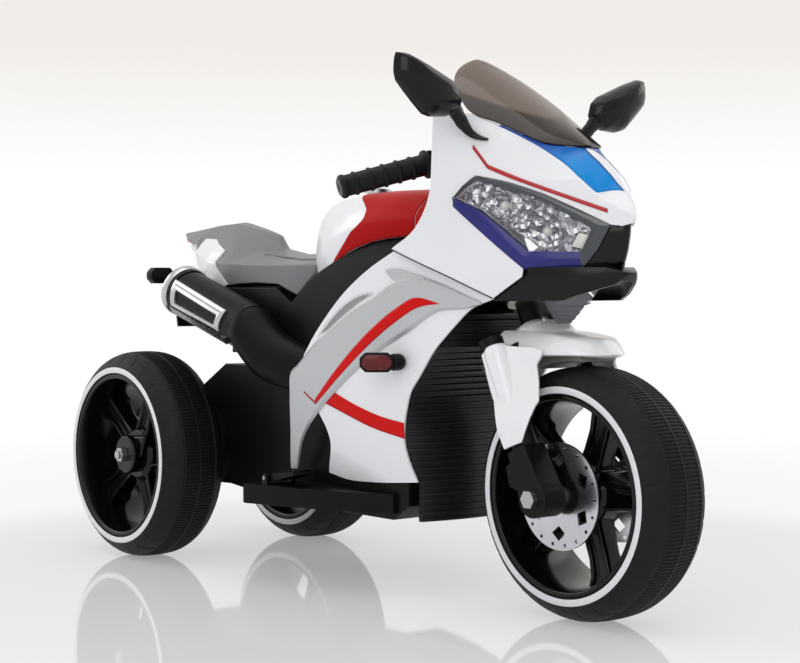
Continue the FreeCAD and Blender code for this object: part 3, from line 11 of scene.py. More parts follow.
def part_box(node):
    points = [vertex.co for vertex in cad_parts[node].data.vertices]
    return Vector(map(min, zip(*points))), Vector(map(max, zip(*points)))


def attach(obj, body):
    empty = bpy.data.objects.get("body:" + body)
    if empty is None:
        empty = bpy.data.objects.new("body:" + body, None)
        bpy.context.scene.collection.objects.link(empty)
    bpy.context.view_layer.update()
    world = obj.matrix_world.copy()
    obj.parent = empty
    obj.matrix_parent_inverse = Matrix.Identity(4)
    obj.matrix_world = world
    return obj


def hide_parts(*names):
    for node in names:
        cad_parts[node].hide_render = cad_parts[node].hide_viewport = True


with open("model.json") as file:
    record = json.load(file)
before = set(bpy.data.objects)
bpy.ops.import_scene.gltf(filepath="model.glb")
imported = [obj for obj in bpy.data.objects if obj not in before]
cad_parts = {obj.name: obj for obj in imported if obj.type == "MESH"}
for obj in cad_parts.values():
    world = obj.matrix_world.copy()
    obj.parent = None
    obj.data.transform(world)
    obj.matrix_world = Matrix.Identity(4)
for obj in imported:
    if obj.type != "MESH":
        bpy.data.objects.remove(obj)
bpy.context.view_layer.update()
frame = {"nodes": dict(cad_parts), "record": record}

# Every size and place below is in millimetres, in the frame's own axes.
MM = 0.001
WALL = 3.0

# Wheels: half of the tyre's section as (across, radius), its marks, then rim and hub as (radius, across).
TYRE_SECTION = [
    (0, 150), (1.2, 150), (1.9, 150), (8, 149.9), (14, 149.6), (20, 149), (23.4, 148.4), (24, 148.3),
    (25.2, 147), (26.6, 147.5), (30, 146.4), (34, 144.6), (38, 142.2), (42, 139), (45.5, 135.4),
    (48.4, 131.4), (50.2, 128.6), (50.8, 127.6), (50.8, 119.4), (50, 118),
]
TREAD_STEPS = 800
RIB_STEPS = 4
RIB_DEPTH = 1.5
RIB_INNER = 1.5
RIB_OUTER = 23.8
SIPES = 28
SIPE_INNER = 29.0
SIPE_OUTER = 45.0
SIPE_DEPTH = 1.6
SIPE_HALF = 1.5
BAND_RADIUS = 123.5
BAND_HALF = 4.0
BAND_OUT = 51.0
BAND_FLATNESS = 0.2
RIM_BARREL = [
    (117.9, -49.4), (117.9, 49.4), (115, 50.6), (112, 50.2), (110.5, 47), (106.5, 14), (106.5, -14),
    (110.5, -47), (112, -50.2), (115, -50.6),
]
SPOKES = 5
SPOKE_LINE = [(20, 19, 15), (34, 17.5, 15), (52, 15.5, 13.5), (76, 15, 13), (96, 16.5, 15), (110, 22, 19)]
SPOKE_VALLEY = 6.0
HUB_BORE = 8.0
HUB_RADIUS = 27.5
HUB_COLLAR = [(10, -18), (34, -18), (40, -12), (40, 12), (34, 18), (10, 18)]
HUB_PLATE = [(50, 0), (8, 27), (-8, 27), (-50, 0), (-8, -27), (8, -27)]
HUB_PLATE_TILT = math.radians(35)
HUB_PLATE_HALF = 27.0
FRONT_HUB_HALF = 48.5
REAR_HUB_HALF = 36.5

# Nose: half widths follow one curve; lines on its side are given as (x, z).
NOSE_TIP = 453.0
NOSE_POINT = 0.654
NOSE_WIDEST = 122.0
BROW = [
    (229, 605.7), (257.3, 599.8), (297.1, 583.8), (322.4, 569.9), (356.1, 549.2), (394.6, 519.4),
    (411.4, 501.4), (426.1, 489.3), (437.6, 482.6), (446, 477), (451.5, 472),
]
COWL_REAR = [(157, 440), (202, 465), (220, 491), (227, 514)]
COWL_SEAM = [(157, 440), (238, 411), (305, 380)]
COWL_SEAM_HALF = 0.7
COWL_CHIN = [(306, 380), (338, 405), (339.4, 414.6)]
COWL_CHEEK = [(227, 514), (257, 498)]
HOOD_FRONT = [(438, 463), (447, 466), (451.5, 472)]
ROOF_INNER = [
    (227, 94, 606), (245, 90, 603), (262, 85, 600.6), (296, 69, 585.6), (320, 59, 573.6), (350, 45, 559.6),
    (364, 26, 557.6), (372, 0, 557),
]
RIDGE = [(372, 557), (384, 553), (400, 541.5), (422, 522.5), (440, 500.5), (448, 486), (451.5, 473)]
SPINE_HALF = 8.0
SPINE_DROP = 2.0
BLUE_REAR = 298.0
BLUE_RUN = 114.0
BLUE_SLANT = 26.0
PINSTRIPE = [(274.4, 559.8), (296.3, 534.9), (424, 480.3)]
PINSTRIPE_HALF = 2.4
INTAKE = [(462.5, 441), (452, 440), (436, 437), (424, 433), (415, 428)]
INTAKE_DEPTH = 34.0

# Screen as x, half width, edge z and crest z, and the panel under it.
SCREEN = [
    (371, 6, 557.6, 558.6), (350, 46, 560.6, 573.6), (320, 60, 574.6, 592.6), (296, 70, 586.6, 608.6),
    (262, 84, 601.6, 630.6), (235, 78, 622, 648), (205, 60, 647, 666), (186, 30, 668, 677),
    (181, 8, 677, 679),
]
SCREEN_WALL = 2.2
DASH = [(238, 560), (262, 562), (300, 562), (330, 561)]
DASH_HALF = [(227, 92), (262, 84), (320, 58), (350, 44)]
DASH_GAP = 5.0
DASH_RISE = 6.0
BUTTON_ROOM = 1.2

# Headlights: outlines of the opening and of the lens, then each bowl's middle, reach and depth.
LAMP_TOP = [
    (257, 498), (269.6, 512.9), (284, 525), (318, 517.5), (354, 504.5), (386.8, 487.6), (427, 464.6),
]
LAMP_RIGHT = [(427, 464.6), (414.6, 436.6), (399.8, 414.6)]
LAMP_BOTTOM = [(399.8, 414.6), (339.4, 414.6)]
LAMP_LEFT = [(339.4, 414.6), (257, 489), (257, 498)]
LENS_TOP = [
    (259.7, 498.9), (271.6, 511.5), (284.5, 519.5), (318, 509.5), (353.7, 496.4), (380, 480), (408.7, 460),
]
LENS_RIGHT = [(408.7, 460), (398, 433.5)]
LENS_BOTTOM = [(398, 433.5), (345.5, 434.5)]
LENS_LEFT = [(345.5, 434.5), (316, 462), (291, 483), (270, 493), (259.7, 498.9)]
LENS_BULGE = 5.0
LAMP_TRIM_DEPTH = 5.0
LAMP_BOWLS = [((346, 458), 30, 22), ((306, 489), 17, 12), ((352, 488), 20, 14), ((394, 446), 11, 6)]
LAMP_BLOCK = [(383, 440), (395, 437), (402, 452), (391, 456)]
BULB_DOME = [(0, 0), (5.5, 0), (5.5, 9), (4.4, 13), (2.2, 15.4), (0, 16)]

# Side fairing and silver panel, lines as (x, z) on the right flank.
FAIRING_LOW = [(5, 150), (39, 144), (85, 144), (168, 150)]
FAIRING_REAR = [(5, 150), (22, 199), (18, 212), (8, 229), (-10, 272), (-18, 304)]
FAIRING_TOP = [(-18, 304), (2, 328), (30, 356), (62, 384), (109, 415), (157, 439)]
FAIRING_SEAM = [(157, 439), (238, 410), (304, 379)]
FAIRING_FRONT = [
    (168, 150), (163, 171), (160, 192), (171, 243), (181, 266), (192, 280), (220, 318),
    (248, 346), (271, 366),
    (304, 379),
]
SCOOP_LINE = [(12, 329), (30, 341.5), (56, 358.5), (78, 371.5), (100, 381), (120, 385.5)]
SCOOP_HALF = 6.0
SCOOP_DEPTH = 5.0
SILVER_LOW = [
    (-60, 150), (-35, 191), (8, 230), (43, 256), (89, 288), (128, 312), (181, 339), (227, 364), (262, 367),
    (289, 372),
]
SILVER_HIGH = [
    (-76, 149), (-56, 210), (-50, 253), (-45, 282), (-32, 290), (-3, 313), (39, 341), (80, 365), (123, 384),
    (157, 402), (207, 404), (245, 392), (275, 380), (289, 375),
]
SILVER_FIN_LOW = [(143, 413), (157, 402), (180, 401), (206, 401)]
SILVER_FIN_HIGH = [(143, 414.4), (157, 415.6), (180, 411.6), (207, 404.4)]
SILVER_FOOT = 1.5
SILVER_RISE = 2.6
SILVER_BORDER = 0.06
STRIPE_LOW = [(9, 242), (22, 251), (58, 278), (87, 300), (120, 324), (159, 349), (200, 369), (231, 373)]
STRIPE_HIGH = [(8, 247), (52, 286), (81, 311), (120, 341), (160, 366), (192, 380), (231, 373)]
HOOK_LOW = [(-14, 254.6), (9, 240.6)]
HOOK_HIGH = [(-14, 257), (9, 243.4)]
BAND_HIGH = [(44, 258), (85, 243), (128, 231), (165, 225)]
BAND_LOW = [(21, 244), (59, 232), (106, 217), (163, 205)]
FILM = 0.5

# Tank: each section is x, then (half width, z) of the low edge, waist and shoulder, then the top z.
TANK = [
    (-128, (8, 420), (12, 438), (9, 452), 456), (-118, (26, 397), (29, 440), (22, 463), 470),
    (-92, (46, 389), (51, 442), (40, 484), 494), (-60, (62, 400), (66, 450), (50, 500), 513),
    (0, (76, 434), (79, 465), (58, 508), 521), (60, (81, 450), (84, 478), (62, 508), 521),
    (120, (84, 456), (86, 480), (64, 507), 519), (160, (84, 458), (85, 480), (64, 505), 516),
]
TANK_RED_REAR = [
    (404, -60), (430, -21), (452, 8), (466, 26), (476, 46), (483, 53), (494, 50), (505, 30),
    (515.7, 7), (521, 2),
]
TANK_RED_FRONT = 159.5
TANK_RED_OUT = 0.7
CHEEK_ROWS = 20
CHEEK_RUN = 52.0
CHEEK_WALL = 2.5

# Seat: each section is x, then (half width, z) of hump, shoulder, edge and low edge, then the top z.
SEAT = [
    (-88, (12, 431), (40, 430), (56, 424), (56, 414), 431),
    (-112, (14, 432), (50, 430), (70, 424), (70, 383), 432),
    (-150, (14, 434), (52, 431), (75, 425), (75, 398), 434),
    (-200, (14, 442), (50, 436), (75, 426), (75, 400), 442),
    (-238, (3, 451), (12, 449.5), (75, 427), (75, 399), 451),
    (-244, (2.5, 469), (14, 450), (75, 428), (75, 399), 470),
    (-264, (6, 474), (34, 446), (75, 428.5), (75, 398), 475),
    (-290, (10, 480), (56, 443), (74, 429), (74, 397), 481),
    (-337, (13, 490), (60, 446), (69, 431), (69, 397), 492),
    (-392, (12, 488), (43, 460), (53, 447), (51, 431), 489),
    (-402, (12, 487), (36, 470), (46, 464), (42, 458), 488),
    (-460, (9, 482), (18, 474), (22, 470), (18, 465), 483),
    (-494, (5, 480), (7, 479), (8, 478), (7, 474), 481),
]
SADDLE_GROOVES = [[(-140, 34), (-200, 38), (-236, 36)], [(-116, 20), (-142, 40)]]
GROOVE_RADIUS = 1.5
SEAT_PAN = [(-302, 399), (-128, 399), (-124, 388), (-140, 374), (-290, 374), (-306, 386)]
SEAT_PAN_HALF = 64.0

# Tail: side panels as (x, z) lines, then core and lamp as x, half width, low z and high z.
TAIL_LOW = [(-274, 398), (-290, 394), (-324, 403), (-368, 416), (-391, 428)]
TAIL_HIGH = [(-356, 466), (-373, 467), (-391, 468)]
TAIL_REAR = [(-391, 428), (-392, 445), (-391, 457), (-391, 468)]
TAIL_FRONT = [(-274, 398), (-308, 423), (-313, 432), (-311, 448), (-356, 466)]
TAIL_OUT = 2.0
TAIL_CORE = [
    (-262, 70, 396, 426), (-300, 66, 398, 432), (-340, 60, 409, 440), (-385, 46, 424, 450),
    (-400, 28, 432, 458),
    (-440, 20, 444, 462), (-470, 14, 452, 466),
]
TAIL_LAMP = [(-492, 8, 470, 475), (-480, 14, 464, 473), (-450, 22, 459, 469), (-412, 30, 455, 464)]

# Fork covers, as (forward, up) along the leaning fork.
RAKE = math.radians(26)
FRONT_AXLE = (379.0, 150.0)
COVER_REAR = [(-13, 66.8), (-14.4, 100), (-11, 130), (-8, 184)]
COVER_TOP = [(-8, 184), (8, 189), (24, 182), (36, 175), (49, 168), (62, 157.7)]
COVER_FRONT = [(12.5, 65.5), (24, 84), (35, 101), (39.5, 105), (41, 113.5), (47, 147), (62, 157.7)]
COVER_OUT = 94.0
COVER_BEND = 28.0
COVER_FLARE = 7.0
COVER_WALL = 4.0
TUBE_CROWN = [(7.4, 190), (7.2, 188.4), (7, 184)]
TUBE_CROWN_SHARES = [0.5, 0.78, 0.96]
TUBE_LINE = [(6.6, 178), (2, 118), (-3, 76)]
TUBE_TAPER = 0.72
TUBE_RADIUS = 16.0
TUBE_Y = 82.0
STEP_OUTLINE = [(-22, 131), (-21, 150), (-19.5, 169), (-8, 186), (4, 186), (4, 128)]
STEP_SIDES = (-70, -86)
YOKE_DROOP = 31.0
YOKE_DROOP_START = 34.0
YOKE_DROOP_RUN = 30.0
YOKE_END = 88.0

# Front mudguard, its cap as x, lift and half width, its liner, and the shroud as back, front, half and z.
GUARD_REAR = 274.0
GUARD_SIDE = 346.0
GUARD_FRONT = 419.0
GUARD_HALF = 62.0
GUARD_CREST = 341.0
GUARD_FALL = 12.0
GUARD_EDGE = 308.0
GUARD_WALL = 6.0
GUARD_CAP_SINK = 12.0
GUARD_CAP = [(282, -8, 30), (287, 8, 37), (300, 14, 40), (316, 12, 39), (324, 6, 34), (328, -3, 26)]
GUARD_BOLT = [(0, 0), (3.4, 0), (3.4, 3), (2.6, 5), (0, 5.6)]
GUARD_BOLT_PLACE = (318, -16, GUARD_CREST + 11)
LINER_RADIUS = 156.0
LINER_HALF = 30.0
LINER_FRONT = 85.0
LINER_REAR = 112.0
NECK = [(329, 350, 28, 385), (330, 347, 27, 374), (331, 343, 18, 361), (331, 338, 9, 349.5)]
NECK_RIB = 0.7

# Mirrors: rim outline as (y, z) of the right one, the shell's (depth, size), and the stalk's line.
MIRROR_RIM = [
    (-206, 662), (-196.8, 662.4), (-172.4, 654.4), (-125.6, 635.2), (-114.6, 626), (-109.8, 609.8),
    (-115, 600.4), (-131, 593), (-156.8, 591.4), (-167.6, 594), (-181.4, 605.8), (-196.6, 619.8),
    (-207, 630.4), (-209.6, 640.6), (-208.6, 655.4),
]
MIRROR_X = 266.0
MIRROR_SHELL = [
    (0, 0.9), (0, 0.97), (2, 1.0), (7, 0.985), (13, 0.92), (19, 0.78), (23.5, 0.58), (26, 0.36), (27, 0.12),
]
MIRROR_RIDGE = (-158.0, 627.0)
MIRROR_PANE = 0.88
STALK_LINE = [
    (274, -130, 610), (272, -121, 604), (270, -110, 593), (270, -101, 583.5), (273, -95, 576),
    (281, -89, 570.5), (291, -83, 567.5),
]
STALK_HALVES = [(13, 5), (12, 6), (9, 6.5), (8.5, 6.5), (9, 6), (6.5, 4.5), (1.5, 1.2)]
STALK_FACING = (0.64, -0.55, 0.53)

# Grips: the flange, the starts of the ribs and the end, as (radius, along).
GRIP_START = (186.6, -88.0, 544.6)
GRIP_RUN = (-43.0, -104.0, -31.0)
GRIP_FLANGE = [(0, 0), (17.5, 0), (18, 3), (17, 5), (13.4, 6)]
GRIP_RIBS = [20, 38, 56, 74, 94]
GRIP_RADIUS = 13.2
GRIP_RIB_RADIUS = 14.8
GRIP_END = [(13.2, 108), (14.8, 110), (14.6, 114), (11, 116.5), (0, 117)]

# Exhaust: corners of the bright frame and its hole as (along, rise), then fins, end ring and pipe.
EXHAUST_FRONT = (-160.0, -112.0, 336.0)
EXHAUST_RISE = math.radians(17)
EXHAUST_RADIUS = 34.0
EXHAUST_FRAME = [(24, 20), (164, 23), (158, -14), (30, -12)]
EXHAUST_HOLE = [(38, 7), (150, 9.5), (147, -8), (41, -6.5)]
EXHAUST_PROFILE = [
    (0, 0.2), (0.03, 2.6), (0.12, 3.6), (0.4, 4.0), (0.5, 3.0), (0.6, 4.0), (0.88, 3.6),
    (0.97, 2.6), (1.0, 0.2),
]
EXHAUST_FRAME_WALL = 2.0
EXHAUST_RING = [(27, 0), (36, 0), (37.6, 3), (37.6, 11), (35.4, 14), (27, 14), (25, 7)]
EXHAUST_RING_PLACE = 172.0
FIN_COUNT = 30
FIN_START = 14.0
FIN_PITCH = 5.0
FIN_FOOT = [(0, -16), (2.6, -16), (5, -29), (2.4, -29)]
FIN_HEIGHT = 4.0
SHROUD = [
    (-172, -112, 339, 33), (-160, -112, 334, 35), (-144, -108, 318, 36), (-126, -102, 301, 36),
    (-98, -92, 288, 34), (-60, -78, 278, 30),
]

# Turn signals: middle, turn, half width and half height of a front and a rear one.
SIGNALS = [((158.5, -146, 301), 38, 21, 12), ((-432, -92, 412), 180, 20, 12)]
SIGNAL_DEPTH = 16.0
SIGNAL_CORNER = 7.0
SIGNAL_BORDER = 2.6
SIGNAL_COLLAR = [(0, -9), (8, -9), (10.5, -6), (10.5, 5), (8, 9), (0, 9)]
SIGNAL_COLLAR_PLACE = (169.0, -123.5, 301.0)
REAR_SIGNAL_DROP = 20.0

# Edge rounding of the frame nodes that keep their shape: node, name, width and segments.
SOFTENED = [
    ("hull_right", "right_hull", 7, 4), ("hull_left", "left_hull", 7, 4),
    ("footboard_left", "left_footboard", 3, 3),
    ("footboard_right", "right_footboard", 3, 3), ("chin_spoiler", "chin_lip", 3, 3),
    ("plate_bracket", "rear_plate_bracket", 1, 3),
]

# Camera of the photograph, and the lamps in metres: place, aim, size and power.
CAMERA_PLACE = (1743.6, -1419.6, 387.5)
CAMERA_AZIMUTH = math.radians(50.411)
CAMERA_ELEVATION = math.radians(1.372)
CAMERA_LENS = 74.774
CAMERA_SENSOR = 36.0
LAMPS = [
    ("overhead_box", (0.2, -0.3, 2.6), (0.1, 0, 0.2), 2.4, 18),
    ("camera_side_box", (1.8, -2.2, 1.7), (0.1, 0, 0.35), 1.6, 16),
    ("rear_box", (-2.2, -1.2, 1.6), (-0.1, 0, 0.3), 1.6, 12),
    ("far_side_box", (0.6, 2.4, 1.8), (0, 0, 0.3), 1.6, 11),
]
WORLD_LIGHT = (0.95, 0.95, 0.96, 1)
WORLD_STRENGTH = 0.62


def deselect():
    bpy.ops.object.select_all(action="DESELECT")


def activate(piece):
    deselect()
    piece.select_set(True)
    bpy.context.view_layer.objects.active = piece


def finish_with(piece, kind, **settings):
    """Adds a modifier to a piece and applies it."""
    activate(piece)
    modifier = piece.modifiers.new(kind.title(), kind)
    for name, value in settings.items():
        setattr(modifier, name, value)
    bpy.ops.object.modifier_apply(modifier=modifier.name)
    return piece


def walled(piece, thickness, offset=-1):
    """Gives a sheet a thickness, behind its face unless the offset says otherwise."""
    return finish_with(piece, "SOLIDIFY", thickness=thickness * MM, offset=offset)


def edit(piece, *steps):
    """Runs edit mode operators, each a pair of the operator and its settings, on a whole mesh."""
    activate(piece)
    bpy.ops.object.mode_set(mode="EDIT")
    bpy.ops.mesh.select_all(action="SELECT")
    for operator, settings in steps:
        operator(**settings)
    bpy.ops.object.mode_set(mode="OBJECT")
    return piece


def named(name):
    piece = bpy.context.object
    piece.name = piece.data.name = name
    return piece


def closed(piece):
    """Merges the seam of a mesh, fills its open ends and turns its faces outwards."""
    return edit(
        piece,
        (bpy.ops.mesh.remove_doubles, {"threshold": 0.00001}),
        (bpy.ops.mesh.fill_holes, {"sides": 0}),
        (bpy.ops.mesh.normals_make_consistent, {"inside": False}),
    )


def turned_out(piece):
    """Turns the faces of a right hand sheet away from the middle of the object."""
    if sum(face.normal[1] * face.area for face in piece.data.polygons) > 0:
        edit(piece, (bpy.ops.mesh.flip_normals, {}))
    return piece


def smooth(piece, degrees=40):
    activate(piece)
    bpy.ops.object.shade_smooth_by_angle(angle=math.radians(degrees))
    return piece


def rounded(piece, width, segments=3, degrees=30):
    """Rounds the sharp edges of a piece and shades it smooth between them."""
    finish_with(piece, "BEVEL", width=width * MM, segments=segments, limit_method="ANGLE",
                angle_limit=math.radians(degrees), use_clamp_overlap=True)
    return smooth(piece)


def spread(points, count, curved=True):
    """Evenly spaced points along a line through the given ones, curved or straight between them."""
    points = np.asarray(points, float)
    along = np.concatenate(([0], np.cumsum(np.linalg.norm(np.diff(points, axis=0), axis=1))))
    where = np.linspace(0, along[-1], count)
    if not curved or len(points) < 3:
        return np.stack([np.interp(where, along, column) for column in points.T], 1)
    slopes = np.gradient(points, along, axis=0)
    spot = np.clip(np.searchsorted(along, where, side="right") - 1, 0, len(points) - 2)
    run = (along[spot + 1] - along[spot])[:, None]
    t = (where - along[spot])[:, None] / run
    first, second = points[spot], points[spot + 1]
    return ((2 * t**3 - 3 * t**2 + 1) * first + (t**3 - 2 * t**2 + t) * run * slopes[spot]
            + (3 * t**2 - 2 * t**3) * second + (t**3 - t**2) * run * slopes[spot + 1])


def joined_line(*lines):
    """One line from several that follow each other, with their shared ends kept once."""
    return np.concatenate([lines[0]] + [line[1:] for line in lines[1:]])


def ruled(low, high, shares):
    """Rows of points between two lines, one for each share of the way from the low to the high one."""
    shares = np.asarray(shares, float)[:, None, None]
    return (1 - shares) * low[None] + shares * high[None]


def patch(low, high, left, right):
    """Points filling four border lines: low and high run forwards, left and right run upwards."""
    u = np.linspace(0, 1, len(low))[None, :, None]
    v = np.linspace(0, 1, len(left))[:, None, None]
    borders = (1 - v) * low[None] + v * high[None] + (1 - u) * left[:, None] + u * right[:, None]
    corners = (1 - u) * (1 - v) * low[0] + u * (1 - v) * low[-1] + (1 - u) * v * high[0] + u * v * high[-1]
    return borders - corners


def grid(*columns):
    """Rows of points from the values of x, y and z, each spread over the others' rows and columns."""
    return np.stack(np.broadcast_arrays(*columns), axis=-1)


def points_of(piece):
    """A mesh's points in millimetres."""
    flat = np.empty(len(piece.data.vertices) * 3)
    piece.data.vertices.foreach_get("co", flat)
    return flat.reshape(-1, 3) / MM


def set_points(piece, points):
    piece.data.vertices.foreach_set("co", (np.asarray(points, float) * MM).ravel())
    piece.data.update()
    return piece


def sheet(name, points):
    """A grid laid over rows and columns of points; it faces columns cross rows."""
    points = np.asarray(points, float)
    rows, columns = points.shape[:2]
    deselect()
    bpy.ops.mesh.primitive_grid_add(
        x_subdivisions=columns - 1, y_subdivisions=rows - 1, size=MM, calc_uvs=True)
    piece = named(name)
    flat = points_of(piece)
    column = np.rint((flat[:, 0] + 0.5) * (columns - 1)).astype(int)
    row = np.rint((flat[:, 1] + 0.5) * (rows - 1)).astype(int)
    return smooth(set_points(piece, points[row, column]), 50)


def lofted(name, rings):
    """A closed skin over rings of points, with flat ends."""
    rings = np.asarray(rings, float)
    return closed(sheet(name, np.concatenate((rings, rings[:, :1]), axis=1)))


def loop(name, points, filled):
    deselect()
    bpy.ops.mesh.primitive_circle_add(vertices=len(points), fill_type="NGON" if filled else "NOTHING")
    return set_points(named(name), points)


def cut_plate(name, outline, depth):
    """A flat plate: a closed outline of points extruded along depth."""
    push = {"value": tuple(np.asarray(depth, float) * MM)}
    return edit(
        loop(name, outline, True),
        (bpy.ops.mesh.extrude_region_move, {"TRANSFORM_OT_translate": push}),
        (bpy.ops.mesh.select_all, {"action": "SELECT"}),
        (bpy.ops.mesh.normals_make_consistent, {"inside": False}),
    )


def side_plate(name, outline, near, far):
    """A plate with an outline of (x, z) between two side distances."""
    return cut_plate(name, [(x, near, z) for x, z in outline], (0, far - near, 0))


def turned(name, section, origin, axis=(0, 1, 0), steps=48):
    """A body spun about an axis from a closed section of (radius, along)."""
    origin = np.asarray(origin, float)
    axis = np.array(Vector(axis).normalized())
    out = np.array(Vector(axis).orthogonal().normalized())
    piece = loop(name, [origin + r * out + w * axis for r, w in section], False)
    edit(
        piece,
        (bpy.ops.mesh.spin, {"steps": steps, "angle": 2 * math.pi, "center": tuple(origin * MM),
                             "axis": tuple(axis)}),
        (bpy.ops.mesh.select_all, {"action": "SELECT"}),
    )
    return smooth(closed(piece), 35)


def around(count):
    """Angles of a full turn, as a column."""
    return np.linspace(0, 2 * math.pi, count, endpoint=False)[:, None]


def tube(name, line, radii, sides):
    """A round bar along a line of points, with a radius at each."""
    line = np.asarray(line, float)
    turn = around(sides)
    rings = []
    for point, ahead, radius in zip(line, np.gradient(line, axis=0), np.broadcast_to(radii, len(line))):
        ahead = Vector(ahead).normalized()
        across = ahead.cross(Vector((0.12, 0.3, 0.95))).normalized()
        lift = np.array(across.cross(ahead))
        rings.append(point + radius * (np.cos(turn) * np.array(across) + np.sin(turn) * lift))
    return smooth(lofted(name, rings), 50)


def one_piece(name, *parts):
    """Joins parts into one piece."""
    activate(parts[0])
    for part in parts[1:]:
        part.select_set(True)
    if len(parts) > 1:
        bpy.ops.object.join()
    return named(name)


def both_sides(piece):
    """Mirrors a right hand piece so that the one mesh holds the left one too."""
    return finish_with(piece, "MIRROR", use_axis=(False, True, False), merge_threshold=0.00005)


def copy_of(piece, name):
    copy = bpy.data.objects.new(name, piece.data.copy())
    bpy.context.collection.objects.link(copy)
    return copy


def other_side(piece, name):
    """The left hand copy of a right hand piece."""
    copy = copy_of(piece, name)
    copy.data.transform(Matrix.Scale(-1, 4, (0, 1, 0)))
    return edit(copy, (bpy.ops.mesh.flip_normals, {}))


def softened(node, name, width, segments=3):
    """A copy of a frame node with its facets merged and its edges rounded."""
    piece = copy_of(frame["nodes"][node], name)
    activate(piece)
    bpy.ops.mesh.customdata_custom_splitnormals_clear()
    edit(
        piece,
        (bpy.ops.mesh.remove_doubles, {"threshold": 0.00001}),
        (bpy.ops.mesh.dissolve_limited, {"angle_limit": math.radians(1)}),
    )
    return rounded(piece, width, segments)


def middle(node):
    low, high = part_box(node)
    return np.array((low + high) / 2) / MM


def tone(red, green, blue):
    """A colour's 0 to 255 numbers as the shader's linear colour."""
    parts = [part / 255 for part in (red, green, blue)]
    return (*[part / 12.92 if part <= 0.04045 else ((part + 0.055) / 1.055) ** 2.4 for part in parts], 1.0)


class Value:
    """A node's output that Python's operators act on."""

    def __init__(self, nodes, socket):
        self.nodes = nodes
        self.socket = socket

    def math(self, operation, other):
        return self.nodes.node("ShaderNodeMath", {0: self, 1: other}, operation=operation)

    def __add__(self, other):
        return self.math("ADD", other)

    def __sub__(self, other):
        return self.math("SUBTRACT", other)

    def __mul__(self, other):
        return self.math("MULTIPLY", other)

    __radd__ = __add__
    __rmul__ = __mul__


class Nodes:
    """A node tree that nodes are added to."""

    def __init__(self, tree):
        self.tree = tree

    def feed(self, socket, value):
        if isinstance(value, Value):
            self.tree.links.new(value.socket, socket)
        else:
            socket.default_value = value

    def node(self, kind, inputs=None, output=0, **settings):
        """Any node: its settings are set first, then its sockets' values or links."""
        node = self.tree.nodes.new(kind)
        for name, value in settings.items():
            setattr(node, name, value)
        for name, value in (inputs or {}).items():
            self.feed(node.inputs[name], value)
        return Value(self, node.outputs[output])

    def place(self, output="Object"):
        return self.node("ShaderNodeTexCoord", output=output)

    def part(self, axis, place):
        return self.node("ShaderNodeSeparateXYZ", {0: place}, output=axis)

    def ray(self, kind):
        return self.node("ShaderNodeLightPath", output=f"Is {kind} Ray")


class Finish(Nodes):
    """A material and the frame's material slot that it belongs to."""

    def __init__(self, name, slot, **constants):
        self.material = bpy.data.materials.new(name)
        self.material.use_nodes = True
        super().__init__(self.material.node_tree)
        self.slot = slot
        self.shader = self.tree.nodes["Principled BSDF"]
        self.surface(**constants)

    def surface(self, **inputs):
        """Sets or links the shader's inputs, which are named in small letters."""
        for name, value in inputs.items():
            self.feed(self.shader.inputs[name.replace("_", " ").title().replace("Ior", "IOR")], value)
        return self

    def cloud(self, scale, detail=3.0):
        """Soft noise from 0 to 1 on the piece's own coordinates; scale is per metre."""
        return self.node("ShaderNodeTexNoise", {"Vector": self.place(), "Scale": scale, "Detail": detail})

    def cells(self, scale, output=0):
        return self.node("ShaderNodeTexVoronoi", {"Vector": self.place(), "Scale": scale}, output=output)

    def blend(self, factor, first, second):
        """A mix of two colours, given as 0 to 255 numbers or as a mix of others."""
        first, second = [side if isinstance(side, Value) else tone(*side) for side in (first, second)]
        return self.node("ShaderNodeMix", {0: factor, 6: first, 7: second}, output=2, data_type="RGBA")

    def between(self, value, low, high, start=0.0, end=1.0):
        return self.node("ShaderNodeMapRange", {0: value, 1: low, 2: high, 3: start, 4: end},
                         interpolation_type="SMOOTHSTEP")

    def bump(self, height, strength, depth):
        return self.node("ShaderNodeBump", {"Height": height, "Strength": strength, "Distance": depth * MM})


def moulded(name, slot, light, dark, rough, rough_spread, grain, depth, **constants):
    """Moulded plastic: slow colour drift, uneven gloss and a fine grain."""
    finish = Finish(name, slot, **constants)
    return finish.surface(
        base_color=finish.blend(finish.cloud(9.0), light, dark),
        roughness=rough + rough_spread * (finish.cloud(60.0, 5.0) - 0.5),
        normal=finish.bump(finish.cloud(grain, 2.0), 0.5, depth),
    )


def plated(name, slot, light, dark, rough, grain, depth, metallic=1.0):
    """Bright metal with a fine brushed or cast grain."""
    finish = Finish(name, slot, metallic=metallic)
    grit = finish.cloud(grain, 4.0)
    return finish.surface(
        base_color=finish.blend(finish.cloud(24.0), light, dark),
        roughness=rough + 0.12 * (grit - 0.5),
        normal=finish.bump(grit, 0.3, depth),
    )


# Plastics: name, slot, light and dark colour, roughness and its spread, grain per metre and its depth.
white_gloss = moulded("white_gloss", "white_shell", (240, 240, 242), (231, 232, 235), 0.2, 0.1, 420, 0.02,
                      coat_weight=0.35)
red_film = moulded("red_film", "white_shell", (216, 12, 10), (200, 11, 9), 0.34, 0.1, 300, 0.02,
                   specular_ior_level=0.12)
tank_red = moulded("tank_red", "white_shell", (184, 10, 9), (164, 9, 8), 0.42, 0.1, 300, 0.02,
                   specular_ior_level=0.06)
dark_red_line = moulded("dark_red_line", "white_shell", (184, 22, 34), (168, 16, 28), 0.3, 0.1, 300, 0.02)
# The scoop's grey is painted shade: the shadow in the fairing's scoop, laid on as a leaf.
scoop_painted_shade = moulded("scoop_painted_shade", "silver_panel", (168, 170, 168), (150, 152, 151), 0.4, 0.1, 500, 0.03)
indigo_trim = moulded("indigo_trim", "black_gloss", (36, 38, 124), (26, 26, 98), 0.2, 0.1, 300, 0.02,
                      specular_ior_level=0.3, coat_weight=0.1)
